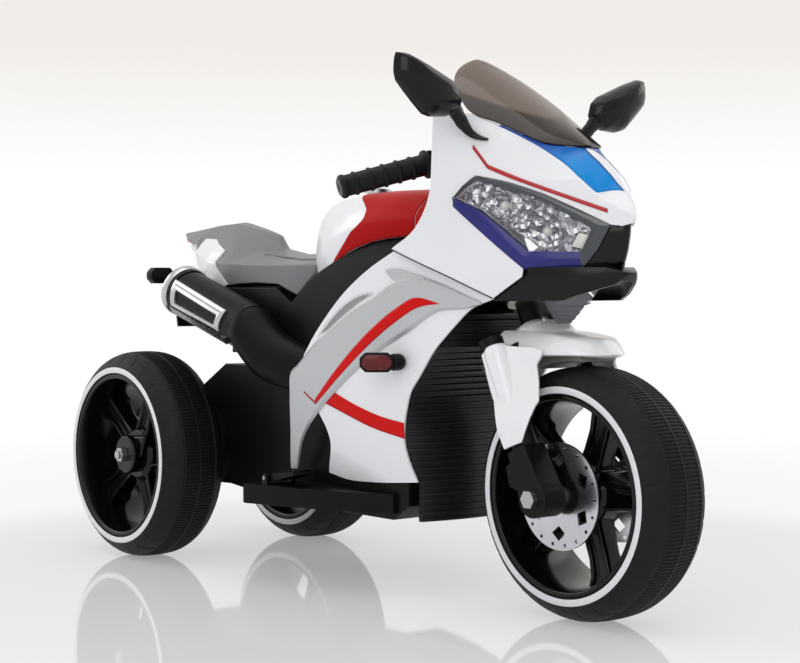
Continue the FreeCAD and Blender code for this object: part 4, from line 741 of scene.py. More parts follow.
lamp_rim = moulded("lamp_rim", "black_gloss", (58, 64, 70), (38, 42, 48), 0.16, 0.1, 300, 0.02,
                   coat_weight=0.4)
bulb_glass = moulded("bulb_glass", "lamp_clear", (252, 248, 236), (240, 236, 220), 0.08, 0.04, 300, 0.01)
black_gloss = moulded("black_gloss_shell", "black_gloss", (9, 9, 11), (6, 6, 8), 0.2, 0.14, 260, 0.03,
                      specular_ior_level=0.22, coat_weight=0.05)
black_satin = moulded("black_satin", "black_hull", (14, 14, 16), (10, 10, 12), 0.4, 0.16, 900, 0.08,
                      specular_ior_level=0.13)
shell_black = moulded("shell_black", "black_hull", (32, 32, 35), (25, 25, 28), 0.34, 0.16, 900, 0.06,
                      specular_ior_level=0.3)
tyre_foam = moulded("tyre_foam", "tyre_foam", (22, 22, 24), (15, 15, 17), 0.55, 0.16, 1400, 0.1,
                    specular_ior_level=0.2)
band_white = moulded("band_white", "white_shell", (232, 232, 234), (218, 219, 222), 0.36, 0.1, 500, 0.03)
liner_grey = moulded("liner_grey", "white_shell", (140, 138, 136), (120, 119, 118), 0.45, 0.14, 600, 0.05)
neck_grey = moulded("neck_grey", "seat_grey", (116, 118, 122), (102, 104, 108), 0.4, 0.14, 600, 0.05)
seat_grey = moulded("seat_grey", "seat_grey", (124, 125, 128), (113, 114, 117), 0.38, 0.14, 700, 0.06)
grip_rubber = moulded("grip_rubber_black", "grip_rubber", (16, 16, 18), (11, 11, 13), 0.5, 0.14, 1600, 0.12,
                      specular_ior_level=0.2)
gear_nylon = moulded("gear_nylon_white", "gear_nylon", (236, 232, 218), (224, 219, 203),
                     0.42, 0.14, 700, 0.05)
board_green = moulded("board_green_mask", "board_green", (24, 92, 58), (16, 74, 46), 0.36, 0.16, 240, 0.05)
button_red = moulded("button_red_cap", "button_red", (198, 30, 30), (176, 22, 22), 0.3, 0.12, 400, 0.03)

# Metals: name, slot, light and dark colour, roughness, grain per metre and its depth.
bright_trim = plated("bright_trim_chrome", "bright_trim", (208, 209, 210), (170, 171, 174), 0.24, 500, 0.05)
disc_chrome = plated("disc_chrome", "bright_trim", (214, 216, 220), (186, 188, 194), 0.2, 700, 0.05)
steel = plated("zinc_steel", "steel", (186, 186, 184), (158, 159, 160), 0.32, 900, 0.05)
black_steel = plated("black_steel_paint", "black_steel", (18, 18, 20), (12, 12, 14), 0.36, 900, 0.06,
                     metallic=0.2)
glass_silver = plated("glass_silver", "mirror_glass", (232, 236, 240), (222, 226, 232), 0.05, 60, 0.005)


def make_silver_paint():
    paint = Finish("silver_paint", "silver_panel", metallic=0.35, coat_weight=0.3)
    flake = paint.cloud(2600, 2.0)
    return paint.surface(
        base_color=paint.blend(paint.between(flake, 0.3, 0.7), (192, 194, 196), (178, 180, 183)),
        roughness=0.34 + 0.14 * (flake - 0.5),
        normal=paint.bump(flake, 0.2, 0.02),
    )


def make_blue_film():
    """Blue that lightens towards the front and darkens along the spine, by the panel's own layout."""
    film = Finish("blue_film", "white_shell", specular_ior_level=0.2, coat_weight=0.05)
    layout = film.place("UV")
    forward = film.between(film.part("X", layout) + 0.1 * (film.cloud(30) - 0.5), 0.3, 0.75)
    body = film.blend(forward, (16, 76, 168), (2, 136, 214))
    return film.surface(
        base_color=film.blend(film.between(film.part("Y", layout), 0.86, 1.0), body, (22, 60, 138)),
        roughness=0.2 + 0.1 * (film.cloud(80) - 0.5),
    )


def make_smoke_tint():
    """Brown smoke, darker and denser in a band along the screen's foot."""
    tint = Finish("smoke_tint", "smoke_screen", specular_ior_level=0.3)
    place = tint.place()
    foot = tint.between(tint.part("Z", place) + 0.4 * tint.part("X", place), 0.7235, 0.7205)
    return tint.surface(
        base_color=tint.blend(foot, (88, 64, 44), (34, 24, 15)),
        roughness=0.08 + 0.06 * (tint.cloud(70) - 0.5),
        alpha=0.72 + 0.26 * foot,
    )


def make_chrome_painted_reflections():
    """Chrome broken up into small facets, as in a lamp's bowl; its base colour is painted dark and bright
    cell by cell, as painted reflections of dark and bright surroundings.
    """
    chrome = Finish("chrome_painted_reflections", "lamp_reflector", metallic=1.0)
    painted_reflection_cell = chrome.node("ShaderNodeSeparateColor", {0: chrome.cells(130.0, "Color")})
    return chrome.surface(
        # Painted reflection: the cells' dark to bright base colour stands in for what the facets mirror; the
        # same cells also vary the roughness.
        base_color=chrome.blend(chrome.between(painted_reflection_cell, 0.15, 0.75), (92, 94, 100), (236, 238, 242)),
        roughness=0.08 + 0.1 * painted_reflection_cell,
        normal=chrome.bump(chrome.cells(130.0), 0.8, 6.0),
    )


def make_clear_lens():
    lens = Finish("clear_lens", "lamp_clear", coat_weight=0.6, ior=1.49)
    return lens.surface(
        base_color=lens.blend(lens.cloud(40), (244, 246, 250), (226, 232, 240)),
        roughness=0.04 + 0.04 * lens.cloud(90),
        alpha=0.05 + 0.6 * lens.node("ShaderNodeFresnel", {"IOR": 1.5}),
    )


def make_red_lens(name, prisms_per_metre, light, dark, rough, rough_spread, strength, depth, **constants):
    """Red plastic with moulded prisms."""
    lens = Finish(name, "lamp_red", **constants)
    prisms = lens.cells(prisms_per_metre)
    return lens.surface(
        base_color=lens.blend(lens.between(prisms, 0.1, 0.6), light, dark),
        roughness=rough + rough_spread * lens.cloud(120),
        normal=lens.bump(prisms, strength, depth),
    )


silver_paint = make_silver_paint()
blue_film = make_blue_film()
smoke_tint = make_smoke_tint()
chrome_painted_reflections = make_chrome_painted_reflections()
clear_lens = make_clear_lens()
lamp_red = make_red_lens("lamp_red", 320.0, (150, 18, 24), (92, 8, 14), 0.1, 0.08, 0.35, 0.4,
                         coat_weight=0.6)
signal_lens = make_red_lens("signal_lens", 110.0, (112, 13, 17), (86, 9, 13), 0.2, 0.1, 0.15, 0.2,
                            specular_ior_level=0.3, coat_weight=0.1)

FINISH_OF_SLOT = {
    finish.slot: finish
    for finish in (
        white_gloss, black_satin, black_gloss, silver_paint, seat_grey, tyre_foam, smoke_tint, clear_lens,
        chrome_painted_reflections, lamp_red, bright_trim, steel, black_steel, grip_rubber, glass_silver, gear_nylon,
        board_green, button_red,
    )
}
FINISH_OF_NODE = {"brake_discs": disc_chrome, "radiator_shell": shell_black}

for part in frame["record"]["subparts"]:
    finish = FINISH_OF_NODE.get(part["node"], FINISH_OF_SLOT[part["material_slot"]])
    for slot in frame["nodes"][part["node"]].material_slots:
        slot.material = finish.material


def fit(piece, finish, *nodes, body="frame"):
    """Gives a piece its finish and its body, and hides the frame nodes that it stands for."""
    piece.data.materials.clear()
    piece.data.materials.append(finish.material)
    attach(piece, body)
    if nodes:
        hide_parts(*nodes)
    return piece


def make_tyre(name, node, body):
    centre = middle(node)
    section = np.array(TYRE_SECTION + [(-across, radius) for across, radius in TYRE_SECTION[::-1]])
    step = np.arange(TREAD_STEPS + 1)[:, None]
    turn = 2 * math.pi * step / TREAD_STEPS
    across, smooth_radius = section.T
    outward = np.abs(across)
    ribbed = (outward > RIB_INNER) & (outward < RIB_OUTER) & (step % RIB_STEPS >= RIB_STEPS // 2)
    reach = (outward - SIPE_INNER) / (SIPE_OUTER - SIPE_INNER)
    lean = np.sign(across) * 0.25 + 0.5 * np.sin(np.clip(reach, 0, 1) * 1.6)
    phase = (turn * SIPES / (2 * math.pi) + lean) % 1.0 - 0.5
    distance = phase * 2 * math.pi / SIPES * smooth_radius
    siped = np.exp(-((distance / SIPE_HALF) ** 2)) * ((reach > -0.05) & (reach < 1.05))
    radius = smooth_radius - RIB_DEPTH * ribbed - SIPE_DEPTH * siped
    places = grid(centre[0] + radius * np.cos(turn), centre[1] - across, centre[2] + radius * np.sin(turn))
    fit(smooth(closed(sheet(name, places)), 28), tyre_foam, node, body=body)
    bands = []
    for side in (-1, 1):
        deselect()
        bpy.ops.mesh.primitive_torus_add(
            major_segments=160, minor_segments=16,
            major_radius=BAND_RADIUS * MM, minor_radius=BAND_HALF * MM,
            rotation=(math.pi / 2, 0, 0), location=(centre + (0, side * BAND_OUT, 0)) * MM)
        bpy.context.object.scale = (1, 1, BAND_FLATNESS)
        bpy.ops.object.transform_apply(location=True, rotation=True, scale=True)
        bands.append(smooth(named(name + "_band"), 60))
    fit(one_piece(name + "_bands", *bands), band_white, body=body)


def make_rim(name, node, body, hub_half):
    centre = middle(node)
    barrel = rounded(turned(name + "_barrel", RIM_BARREL, centre, steps=128), 1.2, 2, 25)
    rings = []
    for reach, half, deep in SPOKE_LINE:
        low = deep - SPOKE_VALLEY
        face = [(-half, deep - 4), (-half + 2, deep), (-half + 6, deep), (-half + 9, low), (half - 9, low),
                (half - 6, deep), (half - 2, deep), (half, deep - 4)]
        section = face + [(-side, -depth) for side, depth in face]
        rings.append([centre + (reach, depth, side) for side, depth in section])
    spokes = edit(
        rounded(lofted(name + "_spoke", rings), 1.4, 2, 25),
        (bpy.ops.mesh.spin, {"steps": SPOKES - 1, "angle": 2 * math.pi * (SPOKES - 1) / SPOKES,
                             "dupli": True, "center": tuple(centre * MM), "axis": (0, 1, 0)}),
        (bpy.ops.mesh.select_all, {"action": "SELECT"}),
        (bpy.ops.mesh.normals_make_consistent, {"inside": False}),
    )
    hub_section = [(radius, side * hub_half) for side, radius in
                   ((-1, HUB_BORE), (-1, HUB_RADIUS), (1, HUB_RADIUS), (1, HUB_BORE))]
    hub = rounded(turned(name + "_hub", hub_section, centre), 2.5)
    collar = rounded(turned(name + "_collar", HUB_COLLAR, centre), 1.5)
    cosine, sine = math.cos(HUB_PLATE_TILT), math.sin(HUB_PLATE_TILT)
    outline = [(centre[0] + a * cosine - b * sine, centre[2] + a * sine + b * cosine) for a, b in HUB_PLATE]
    boss = side_plate(name + "_boss", outline, centre[1] - HUB_PLATE_HALF, centre[1] + HUB_PLATE_HALF)
    fit(one_piece(name, barrel, spokes, hub, collar, rounded(boss, 4)), black_gloss, node, body=body)


WHEELS = [
    ("front_wheel", "front_{}", "front_wheel", FRONT_HUB_HALF),
    ("right_wheel", "rear_{}_right", "rear_wheel_right", REAR_HUB_HALF),
    ("left_wheel", "rear_{}_left", "rear_wheel_left", REAR_HUB_HALF),
]
for wheel, node, body, hub_half in WHEELS:
    make_tyre(wheel + "_tyre", node.format("tyre"), body)
for wheel, node, body, hub_half in WHEELS:
    make_rim(wheel + "_rim", node.format("rim"), body, hub_half)


def cowl_half(x, z):
    """Half width of the nose at a place on its side: full at the shoulders, pointed at the tip."""
    bluff = 3 * np.maximum(NOSE_TIP - x, 0.5) ** 0.68
    pointed = NOSE_POINT * np.maximum(NOSE_TIP - x, 0.2)
    width = -4 * np.log(np.exp(-bluff / 4) + np.exp(-pointed / 4) + np.exp(-NOSE_WIDEST / 4))
    lean = np.interp(x, [230, 260, 300, 345, 430], [0.02, 0.2, 0.32, 0.5, 0.6])
    return np.maximum(width, 0) - np.maximum(z - 520, 0) * lean


def flank_half(x, z):
    """Half width of the side fairing at a place on it."""
    return 127 - 40 * np.maximum(0, (x + 20) / 320) ** 2 - 26 * np.maximum(0, (300 - z) / 155) ** 2


def on_side(lines, half, out=0.0):
    """Lays points of (x, z) on the right flank, a distance out from its surface."""
    x, z = lines[..., 0], lines[..., 1]
    return np.stack((x, -(half(x, z) + out), z), axis=-1)


BROW_LINE = spread(BROW, 60)


def roof(x, share):
    """Places on the nose's roof: the share is 0 on the brow, 1 at the screen or spine and 2 in the middle."""
    brow_z = np.interp(x, BROW_LINE[:, 0], BROW_LINE[:, 1])
    brow_half = np.maximum(cowl_half(x, brow_z), 0)
    outer = np.stack((x, -brow_half, brow_z), axis=-1)
    inner_x, inner_y, inner_z = np.array(ROOF_INNER).T
    ridge_x, ridge_z = np.array(RIDGE).T
    beyond = x > inner_x[-1]
    spine = np.minimum(SPINE_HALF * np.clip((x - inner_x[-1]) / 12, 0, 1), 0.45 * brow_half)
    crest = np.interp(x, ridge_x, ridge_z)
    inner_half = np.where(beyond, spine, np.interp(x, inner_x, inner_y))
    inner_height = np.where(beyond, crest - SPINE_DROP * spine / SPINE_HALF, np.interp(x, inner_x, inner_z))
    inner = np.stack((x, -inner_half, inner_height), axis=-1)
    centre = np.where(beyond[..., None], np.stack((x, 0 * x, crest), axis=-1), inner)
    share = share[..., None]
    return np.where(share < 1, outer + (inner - outer) * share, inner + (centre - inner) * (share - 1))


def make_cowl():
    cheek = spread(COWL_CHEEK, 5)
    low = joined_line(cheek, spread(LAMP_TOP[:3], 9, False), spread(LAMP_TOP[2:], 40),
                      spread([LAMP_TOP[-1], HOOD_FRONT[0]], 5))
    high = spread(BROW, len(low))
    lines = patch(low, high, spread([low[0], high[0]], 16), spread(HOOD_FRONT, 16, False))
    upper = on_side(lines, cowl_half)
    upper[:, -1, 1] *= np.linspace(1, 0, 16) ** 0.5
    x = high[:, 0]
    share = joined_line(np.linspace(0, 1, 10), np.linspace(1, 2, 4))[:, None]
    top = roof(*np.broadcast_arrays(x, share))
    top[:, -1, 1] = 0
    high = joined_line(cheek, spread(LAMP_LEFT[::-1], 24, False))
    low = spread(COWL_SEAM, len(high))
    lower = on_side(patch(low, high, spread(COWL_REAR, 18), spread(COWL_CHIN, 18, False)), cowl_half)
    sides = [sheet(name, points) for name, points in (("upper", upper), ("lower", lower), ("roof", top))]
    shell = one_piece("nose_cowl", *sides)
    edit(shell, (bpy.ops.mesh.remove_doubles, {"threshold": 0.0002}))
    fit(smooth(walled(both_sides(shell), WALL), 38), white_gloss, "front_cowl")


def make_blue_panels():
    """Film on the roof between brow and spine, cut level at its front end."""
    share = np.linspace(0.03, 0.97, 11)[:, None]
    x = BLUE_REAR + (BLUE_RUN + BLUE_SLANT * share) * np.linspace(0, 1, 50)
    points = roof(*np.broadcast_arrays(x, share)) + (0, -0.3, 0.5)
    fit(walled(both_sides(sheet("blue_panels", points)), 0.6, 0), blue_film)


def make_screen():
    x, half, edge, crest = spread(SCREEN[::-1], 40).T
    share = np.linspace(-1, 1, 41)[:, None]
    screen = sheet("smoke_windscreen", grid(x, share * half, crest - (crest - edge) * share**2))
    fit(smooth(walled(screen, SCREEN_WALL, 1)), smoke_tint, "windscreen")


def lamp_ring(name, outer, inner):
    """A trim strip between two lines on the nose's side, raised along its middle."""
    share = np.linspace(0, 1, 7)
    points = on_side(ruled(inner, outer, share), cowl_half)
    points[..., 1] -= 0.6 + 2.4 * np.sin(math.pi * share[:, None])
    strip = edit(sheet(name, points), (bpy.ops.mesh.normals_make_consistent, {"inside": False}))
    return both_sides(smooth(walled(turned_out(strip), LAMP_TRIM_DEPTH)))


def lens_line(top, right):
    """The line over a headlight's top and down its front end."""
    return joined_line(spread(top[:3], 12, False), spread(top[2:], 40), spread(right, 14, False))


def make_headlights():
    """Dark rim above, indigo trim below, a clear cover and a chrome bowl with bulbs on each side."""
    rims = lamp_ring("headlight_rims", lens_line(LAMP_TOP, LAMP_RIGHT), lens_line(LENS_TOP, LENS_RIGHT))
    fit(rims, lamp_rim)
    outer = joined_line(spread(LAMP_BOTTOM, 14), spread(LAMP_LEFT, 40, False))
    inner = joined_line(spread(LENS_BOTTOM, 14), spread(LENS_LEFT, 40, False))
    fit(lamp_ring("headlight_trims", outer, inner), indigo_trim)
    low = joined_line(spread(LENS_LEFT[::-1], 40, False), spread(LENS_BOTTOM[::-1], 21))
    high = joined_line(spread(LENS_TOP[:3], 13, False), spread(LENS_TOP[2:], len(low) - 12))
    lines = patch(low, high, np.repeat(low[:1], 40, axis=0), spread(LENS_RIGHT[::-1], 40))
    share = np.linspace(0, 1, 40)[:, None]
    bulge = LENS_BULGE * np.sqrt(np.clip(4 * share * (1 - share), 0, 1))
    lens = both_sides(sheet("headlight_clear_lenses", on_side(lines, cowl_half, bulge - 2)))
    fit(walled(lens, 1.5), clear_lens, "headlight_lenses")
    points = on_side(lines, cowl_half, -7)
    x, z = points[..., 0], points[..., 2]
    depth = 0 * x
    for (bowl_x, bowl_z), reach, deep in LAMP_BOWLS:
        from_middle = np.hypot(x - bowl_x, z - bowl_z) / reach
        depth = np.maximum(depth, deep * np.sqrt(np.clip(1 - from_middle**2, 0, 1)))
    flutes = 1.8 * np.abs(np.sin(x * 0.62 + z * 0.2)) * np.clip((300 - x) / 12, 0, 1)
    points[..., 1] = np.minimum(points[..., 1] + depth + flutes, -6)
    reflector = finish_with(sheet("headlight_chrome", points), "SUBSURF", levels=1, render_levels=1)
    fit(smooth(walled(both_sides(reflector), 1.2)), chrome_painted_reflections, "headlight_reflectors")
    bulbs = []
    for (bowl_x, bowl_z), reach, deep in LAMP_BOWLS[:2]:
        seat = 9 + deep - float(cowl_half(np.array(bowl_x), np.array(bowl_z)))
        bulbs.append(turned("bulb", BULB_DOME, (bowl_x, seat, bowl_z), axis=(0.6, -0.8, 0), steps=20))
    block = cut_plate("position_lamp", on_side(np.array(LAMP_BLOCK, float), cowl_half, -9), (2.4, -3.2, 0))
    fit(both_sides(one_piece("headlight_bulbs", *bulbs, rounded(block, 0.8, 2))), bulb_glass)


def make_pinstripe():
    line = spread(PINSTRIPE, 61, False)
    lines = np.stack((line - (0, PINSTRIPE_HALF), line, line + (0, PINSTRIPE_HALF)))
    stripe = both_sides(sheet("nose_pinstripes", on_side(lines, cowl_half, 0.5)))
    fit(walled(stripe, FILM, 0), dark_red_line)


def make_dash():
    """The black inner panel under the screen, which also carries the controls."""
    x, z = spread(DASH, 12).T
    share = np.linspace(-1, 1, 21)[:, None]
    half = np.minimum(cowl_half(x, z + 14), np.interp(x, *np.array(DASH_HALF).T)) - DASH_GAP
    panel = sheet("dash_panel", grid(x, share * half, z + DASH_RISE * np.abs(share) ** 3))
    rounded(walled(panel, 5), 1.2, 2)
    low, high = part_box("power_button")
    reach = max(high[0] - low[0], high[1] - low[1]) / MM / 2 + BUTTON_ROOM
    section = [(0, -30), (reach, -30), (reach, 30), (0, 30)]
    room = turned("button_room", section, middle("power_button"), (0, 0, 1), 40)
    finish_with(panel, "BOOLEAN", object=room, operation="DIFFERENCE", solver="EXACT")
    bpy.data.objects.remove(room)
    fit(smooth(panel), black_satin, "dashboard")


def make_intake():
    """The black snout between the lamps, falling back towards the chin."""
    rings = []
    for z, front in INTAKE:
        back = front - INTAKE_DEPTH
        flank = float(cowl_half(np.array(back), np.array(z))) - 3
        plan = [(back, -flank), (front - 3, -6), (front, 0), (front - 3, 6), (back, flank)]
        rings.append([(x, y, z) for x, y in plan])
    fit(rounded(lofted("nose_snout", rings), 1.5, 2, 20), black_gloss, "nose_intake")


make_cowl()
make_blue_panels()
make_screen()
make_headlights()
make_pinstripe()
make_dash()
make_intake()


def scoop(x, z):
    """Depth of the leaf shaped scoop at a place on the fairing."""
    line = spread(SCOOP_LINE, 200)
    away = np.hypot(x[..., None] - line[:, 0], z[..., None] - line[:, 1])
    nearest = np.argmin(away, axis=-1)
    half = SCOOP_HALF * np.sin(math.pi * (nearest + 0.5) / len(line)) + 0.5
    return SCOOP_DEPTH * np.clip(1 - (np.min(away, axis=-1) / half) ** 2, 0, 1) ** 0.7


def make_fairing():
    high = joined_line(spread(FAIRING_TOP, 70), spread(FAIRING_SEAM, 60))
    low = spread(FAIRING_LOW, len(high))
    points = on_side(patch(low, high, spread(FAIRING_REAR, 90), spread(FAIRING_FRONT, 90)), flank_half)
    points[..., 1] += scoop(points[..., 0], points[..., 2])
    panel = smooth(walled(sheet("right_fairing", points), WALL))
    fit(other_side(panel, "left_fairing"), white_gloss, "side_fairing_left")
    fit(panel, white_gloss, "side_fairing_right")


def make_silver_panels():
    """A flat faced panel with sloped borders, and the fin on its upper edge."""
    share = np.concatenate(([0, 0.03, 0.06], np.linspace(0.1, 0.9, 19), [0.94, 0.97, 1]))
    slope = np.clip(share / SILVER_BORDER, 0, 1) * np.clip((1 - share) / SILVER_BORDER, 0, 1)
    lines = ruled(spread(SILVER_LOW, 110), spread(SILVER_HIGH, 110), share)
    out = SILVER_FOOT + SILVER_RISE * slope[:, None]
    panel = sheet("silver_side_panels", on_side(lines, flank_half, out))
    lines = ruled(spread(SILVER_FIN_LOW, 30), spread(SILVER_FIN_HIGH, 30), np.linspace(0, 1, 9))
    fin = sheet("silver_fin", on_side(lines, flank_half, SILVER_RISE + 0.9))
    panels = one_piece("silver_side_panels", walled(panel, WALL), walled(fin, WALL))
    fit(both_sides(smooth(panels, 24)), silver_paint, "silver_panels")


def make_scoop_shade_leaves():
    """A grey leaf in the bottom of each fairing's scoop: painted shade standing in for the shadow in the
    scoop's hollow.
    """
    along = slice(4, 53)
    line = spread(SCOOP_LINE, 60)[along]
    reach = SCOOP_HALF * np.sin(np.linspace(0, 1, 60)[along] * math.pi)
    share = np.linspace(-0.88, 0.88, 9)[:, None, None]
    lines = line[None] + share * reach[None, :, None] * np.array((-0.58, 0.81))
    points = on_side(lines, flank_half, 0.5)
    points[..., 1] += scoop(points[..., 0], points[..., 2])
    fit(both_sides(walled(sheet("scoop_shade_leaves", points), 0.8, 0)), scoop_painted_shade)


def make_seam_lines():
    """The dark joint between the nose and each side fairing."""
    line = spread(COWL_SEAM, 60)
    lines = np.stack((line - (0, COWL_SEAM_HALF), line, line + (0, COWL_SEAM_HALF)))
    points = on_side(lines, lambda x, z: np.maximum(cowl_half(x, z), flank_half(x, z)), 0.4)
    fit(both_sides(walled(sheet("nose_joints", points), 0.6, 0)), black_satin)


def make_flank_film(name, low, high, out, finish):
    """A thin film between two lines on the flank."""
    lines = ruled(spread(low, 50), spread(high, 50), np.linspace(0, 1, 6))
    fit(walled(both_sides(sheet(name, on_side(lines, flank_half, out))), FILM, 0), finish)


make_fairing()
make_silver_panels()
make_scoop_shade_leaves()
make_seam_lines()
make_flank_film("fairing_red_bands", BAND_LOW, BAND_HIGH, 0.5, red_film)
make_flank_film("silver_red_stripes", STRIPE_LOW, STRIPE_HIGH, SILVER_RISE + 1.9, red_film)
make_flank_film("silver_hooks", HOOK_LOW, HOOK_HIGH, SILVER_RISE + 1.9, dark_red_line)


def make_tank():
    """The white shell, the red film over its front and the red cheeks that carry it under the nose."""
    profiles = []
    for x, low, waist, shoulder, top in TANK:
        profiles.append([(x, -y, z) for y, z in spread([low, waist, shoulder, (0, top)], 30)])
    right = np.stack([spread(line, 70) for line in np.array(profiles).transpose(1, 0, 2)])
    shell = sheet("tank_shell", np.concatenate((right, right[-2::-1] * (1, -1, 1))))
    fit(smooth(walled(shell, WALL)), white_gloss, "tank_cover")
    heights, starts = np.array(TANK_RED_REAR).T
    rows = []
    for row in right:
        reach = np.linspace(row[0, 0], TANK_RED_FRONT, 400)
        red = reach >= np.interp(np.interp(reach, row[:, 0], row[:, 2]), heights, starts)
        x = np.linspace(reach[np.argmax(red)], TANK_RED_FRONT, 40)
        rows.append(np.stack([x] + [np.interp(x, row[:, 0], row[:, axis]) for axis in (1, 2)], axis=-1))
    film = np.array(rows)
    film[..., 1] -= TANK_RED_OUT * np.linspace(1, 0, len(rows))[:, None]
    film[..., 2] += TANK_RED_OUT * np.linspace(0, 1, len(rows))[:, None] ** 0.5
    film = sheet("tank_red_sides", np.concatenate((film, film[-2::-1] * (1, -1, 1))))
    fit(walled(film, FILM, 0), tank_red)
    edge = right[:CHEEK_ROWS, -1]
    run = np.linspace(-2, CHEEK_RUN, 14)[None, :, None]
    cheek = edge[:, None] + run * (1, 0, 0) + np.clip(run / CHEEK_RUN, 0, 1) ** 2 * (0, 8, -4)
    fit(both_sides(smooth(walled(sheet("tank_red_cheeks", cheek), CHEEK_WALL))), tank_red)


def saddle_top(x, y):
    """Height of the saddle's upper face."""
    stations = np.array([(s[0], s[5], *s[1], *s[2], *s[3]) for s in SEAT])[::-1]
    values = [np.interp(x, stations[:, 0], column) for column in stations.T[1:]]
    return float(np.interp(y, [0, *values[1::2]], values[0::2]))


def saddle_half(x, z):
    """Half width of the saddle and its hump at places on its side."""
    stations = np.array([(s[0], *s[4], *s[3], *s[2], *s[1], 0, s[5]) for s in SEAT])[::-1]
    result = np.empty(np.shape(x))
    for index in np.ndindex(result.shape):
        values = [np.interp(x[index], stations[:, 0], column) for column in stations.T[1:]]
        result[index] = np.interp(z[index], values[1::2], values[0::2])
    return result


def make_seat():
    """The saddle with its hump, skinned over sections with a broad bevel along each fold, on a black pan."""
    rings = []
    for x, hump, shoulder, edge, low, top in SEAT:
        half = [(0, top), hump, shoulder, edge, low]
        right = [(x, -y, z) for y, z in half]
        left = [(x, y, z) for y, z in half[:0:-1]]
        rings.append(right + [(x, 0, low[1] + 2)] + left)
    saddle = rounded(lofted("saddle_and_hump", rings), 4, 3, 18)
    grooves = []
    for line in SADDLE_GROOVES:
        for side in (-1, 1):
            path = spread([(x, side * y) for x, y in line], 14)
            points = [(x, y, saddle_top(x, abs(y)) + 0.6) for x, y in path]
            grooves.append(tube("groove", points, GROOVE_RADIUS, 10))
    fit(one_piece("saddle_and_hump", saddle, *grooves), seat_grey, "seat")
    fit(rounded(side_plate("seat_pan", SEAT_PAN, -SEAT_PAN_HALF, SEAT_PAN_HALF), 5), black_satin)


def make_tail_panels():
    """White panels on both flanks of the tail, with a stepped front edge."""
    low, high = spread(TAIL_LOW, 40), spread(TAIL_HIGH, 40)
    lines = patch(low, high, spread(TAIL_FRONT, 40, False), spread(TAIL_REAR, 40))
    panel = turned_out(sheet("tail_side_panels", on_side(lines, saddle_half, TAIL_OUT)))
    fit(both_sides(smooth(walled(panel, WALL))), white_gloss)


def make_tail(name, sections, finish, node):
    """A six sided bar under the hump."""
    rings = []
    for x, half, low, high in sections:
        side = [(-0.8 * half, low), (-half, low + 0.3 * (high - low)), (-0.86 * half, high)]
        rings.append([(x, y, z) for y, z in side + [(-y, z) for y, z in side[::-1]]])
    fit(rounded(lofted(name, rings), 2, 3, 25), finish, node)


make_tank()
make_seat()
make_tail_panels()
make_tail("white_tail", TAIL_CORE, white_gloss, "tail_cowl")
make_tail("rear_lamp", TAIL_LAMP, lamp_red, "tail_light")


def on_fork(outline):
    """Places of (forward, up) points along the leaning fork as (x, z)."""
    forward, up = np.moveaxis(np.asarray(outline, float), -1, 0)
    return np.stack((FRONT_AXLE[0] + forward * math.cos(RAKE) - up * math.sin(RAKE),
                     FRONT_AXLE[1] + forward * math.sin(RAKE) + up * math.cos(RAKE)), axis=-1)


def make_fork_covers():
    """Each leg's cover: a bent plate in front, a round column behind it and a step at the back."""
    rear, front = spread(COVER_REAR, 30), spread(COVER_FRONT, 30, False)
    lines = patch(spread([rear[0], front[0]], 30), spread(COVER_TOP, 30), rear, front)
    bend = np.clip((lines[..., 0] + 5) / 60, 0, 1)
    flare = np.clip((130 - lines[..., 1]) / 40, 0, 1)
    out = COVER_OUT - COVER_BEND * bend**2 * (3 - 2 * bend) + COVER_FLARE * flare
    places = on_fork(lines)
    plate = sheet("plate", np.stack((places[..., 0], -out, places[..., 1]), axis=-1))
    plate = rounded(walled(plate, COVER_WALL), 1.4, 2, 40)
    line = np.concatenate((TUBE_CROWN, spread(TUBE_LINE, 16)))
    radii = TUBE_RADIUS * np.concatenate((TUBE_CROWN_SHARES, np.linspace(1, TUBE_TAPER, 16)))
    column = tube("column", [(x, -TUBE_Y, z) for x, z in on_fork(line)], radii, 28)
    step = rounded(side_plate("step", on_fork(STEP_OUTLINE), *STEP_SIDES), 3)
    covers = both_sides(one_piece("fork_leg_covers", plate, column, step))
    fit(covers, white_gloss, "fork_covers", body="steering")


def make_mudguard():
    """A low visor over the front tyre, pointed in plan, with a raised cap behind and one bolt."""
    along = np.linspace(0, 1, 48)[None, :]
    share = np.linspace(-1, 1, 45)[:, None]
    front = GUARD_SIDE + (GUARD_FRONT - GUARD_SIDE) * (1 - np.abs(share) ** 2.4) ** 0.8
    x = GUARD_REAR + (front - GUARD_REAR) * along
    y = GUARD_HALF * share * (1 - 0.06 * along**2)
    brim = np.clip((along - 0.86) / 0.14, 0, 1)
    side = np.clip((np.abs(share) - 0.62) / 0.38, 0, 1)
    dome = (1 - side**1.6) * (1 - brim**1.8)
    foot = GUARD_EDGE + GUARD_WALL
    z = foot + (GUARD_CREST - GUARD_FALL * along**3 - foot) * dome
    visor = rounded(walled(sheet("visor", grid(x, y, z)), GUARD_WALL), 2, 2, 50)
    arc = np.linspace(0, math.pi, 17)
    rings = []
    for place, lift, half in GUARD_CAP:
        rise = (GUARD_CAP_SINK + lift) * np.abs(np.sin(arc)) ** 0.5
        rings.append(grid(place, half * np.cos(arc), GUARD_CREST - GUARD_CAP_SINK + rise))
    cap = smooth(lofted("cap", rings), 50)
    fit(one_piece("front_visor", visor, cap), white_gloss, "front_mudguard", body="steering")
    fit(turned("guard_bolt", GUARD_BOLT, GUARD_BOLT_PLACE, (0, 0, 1), 24), steel, body="steering")


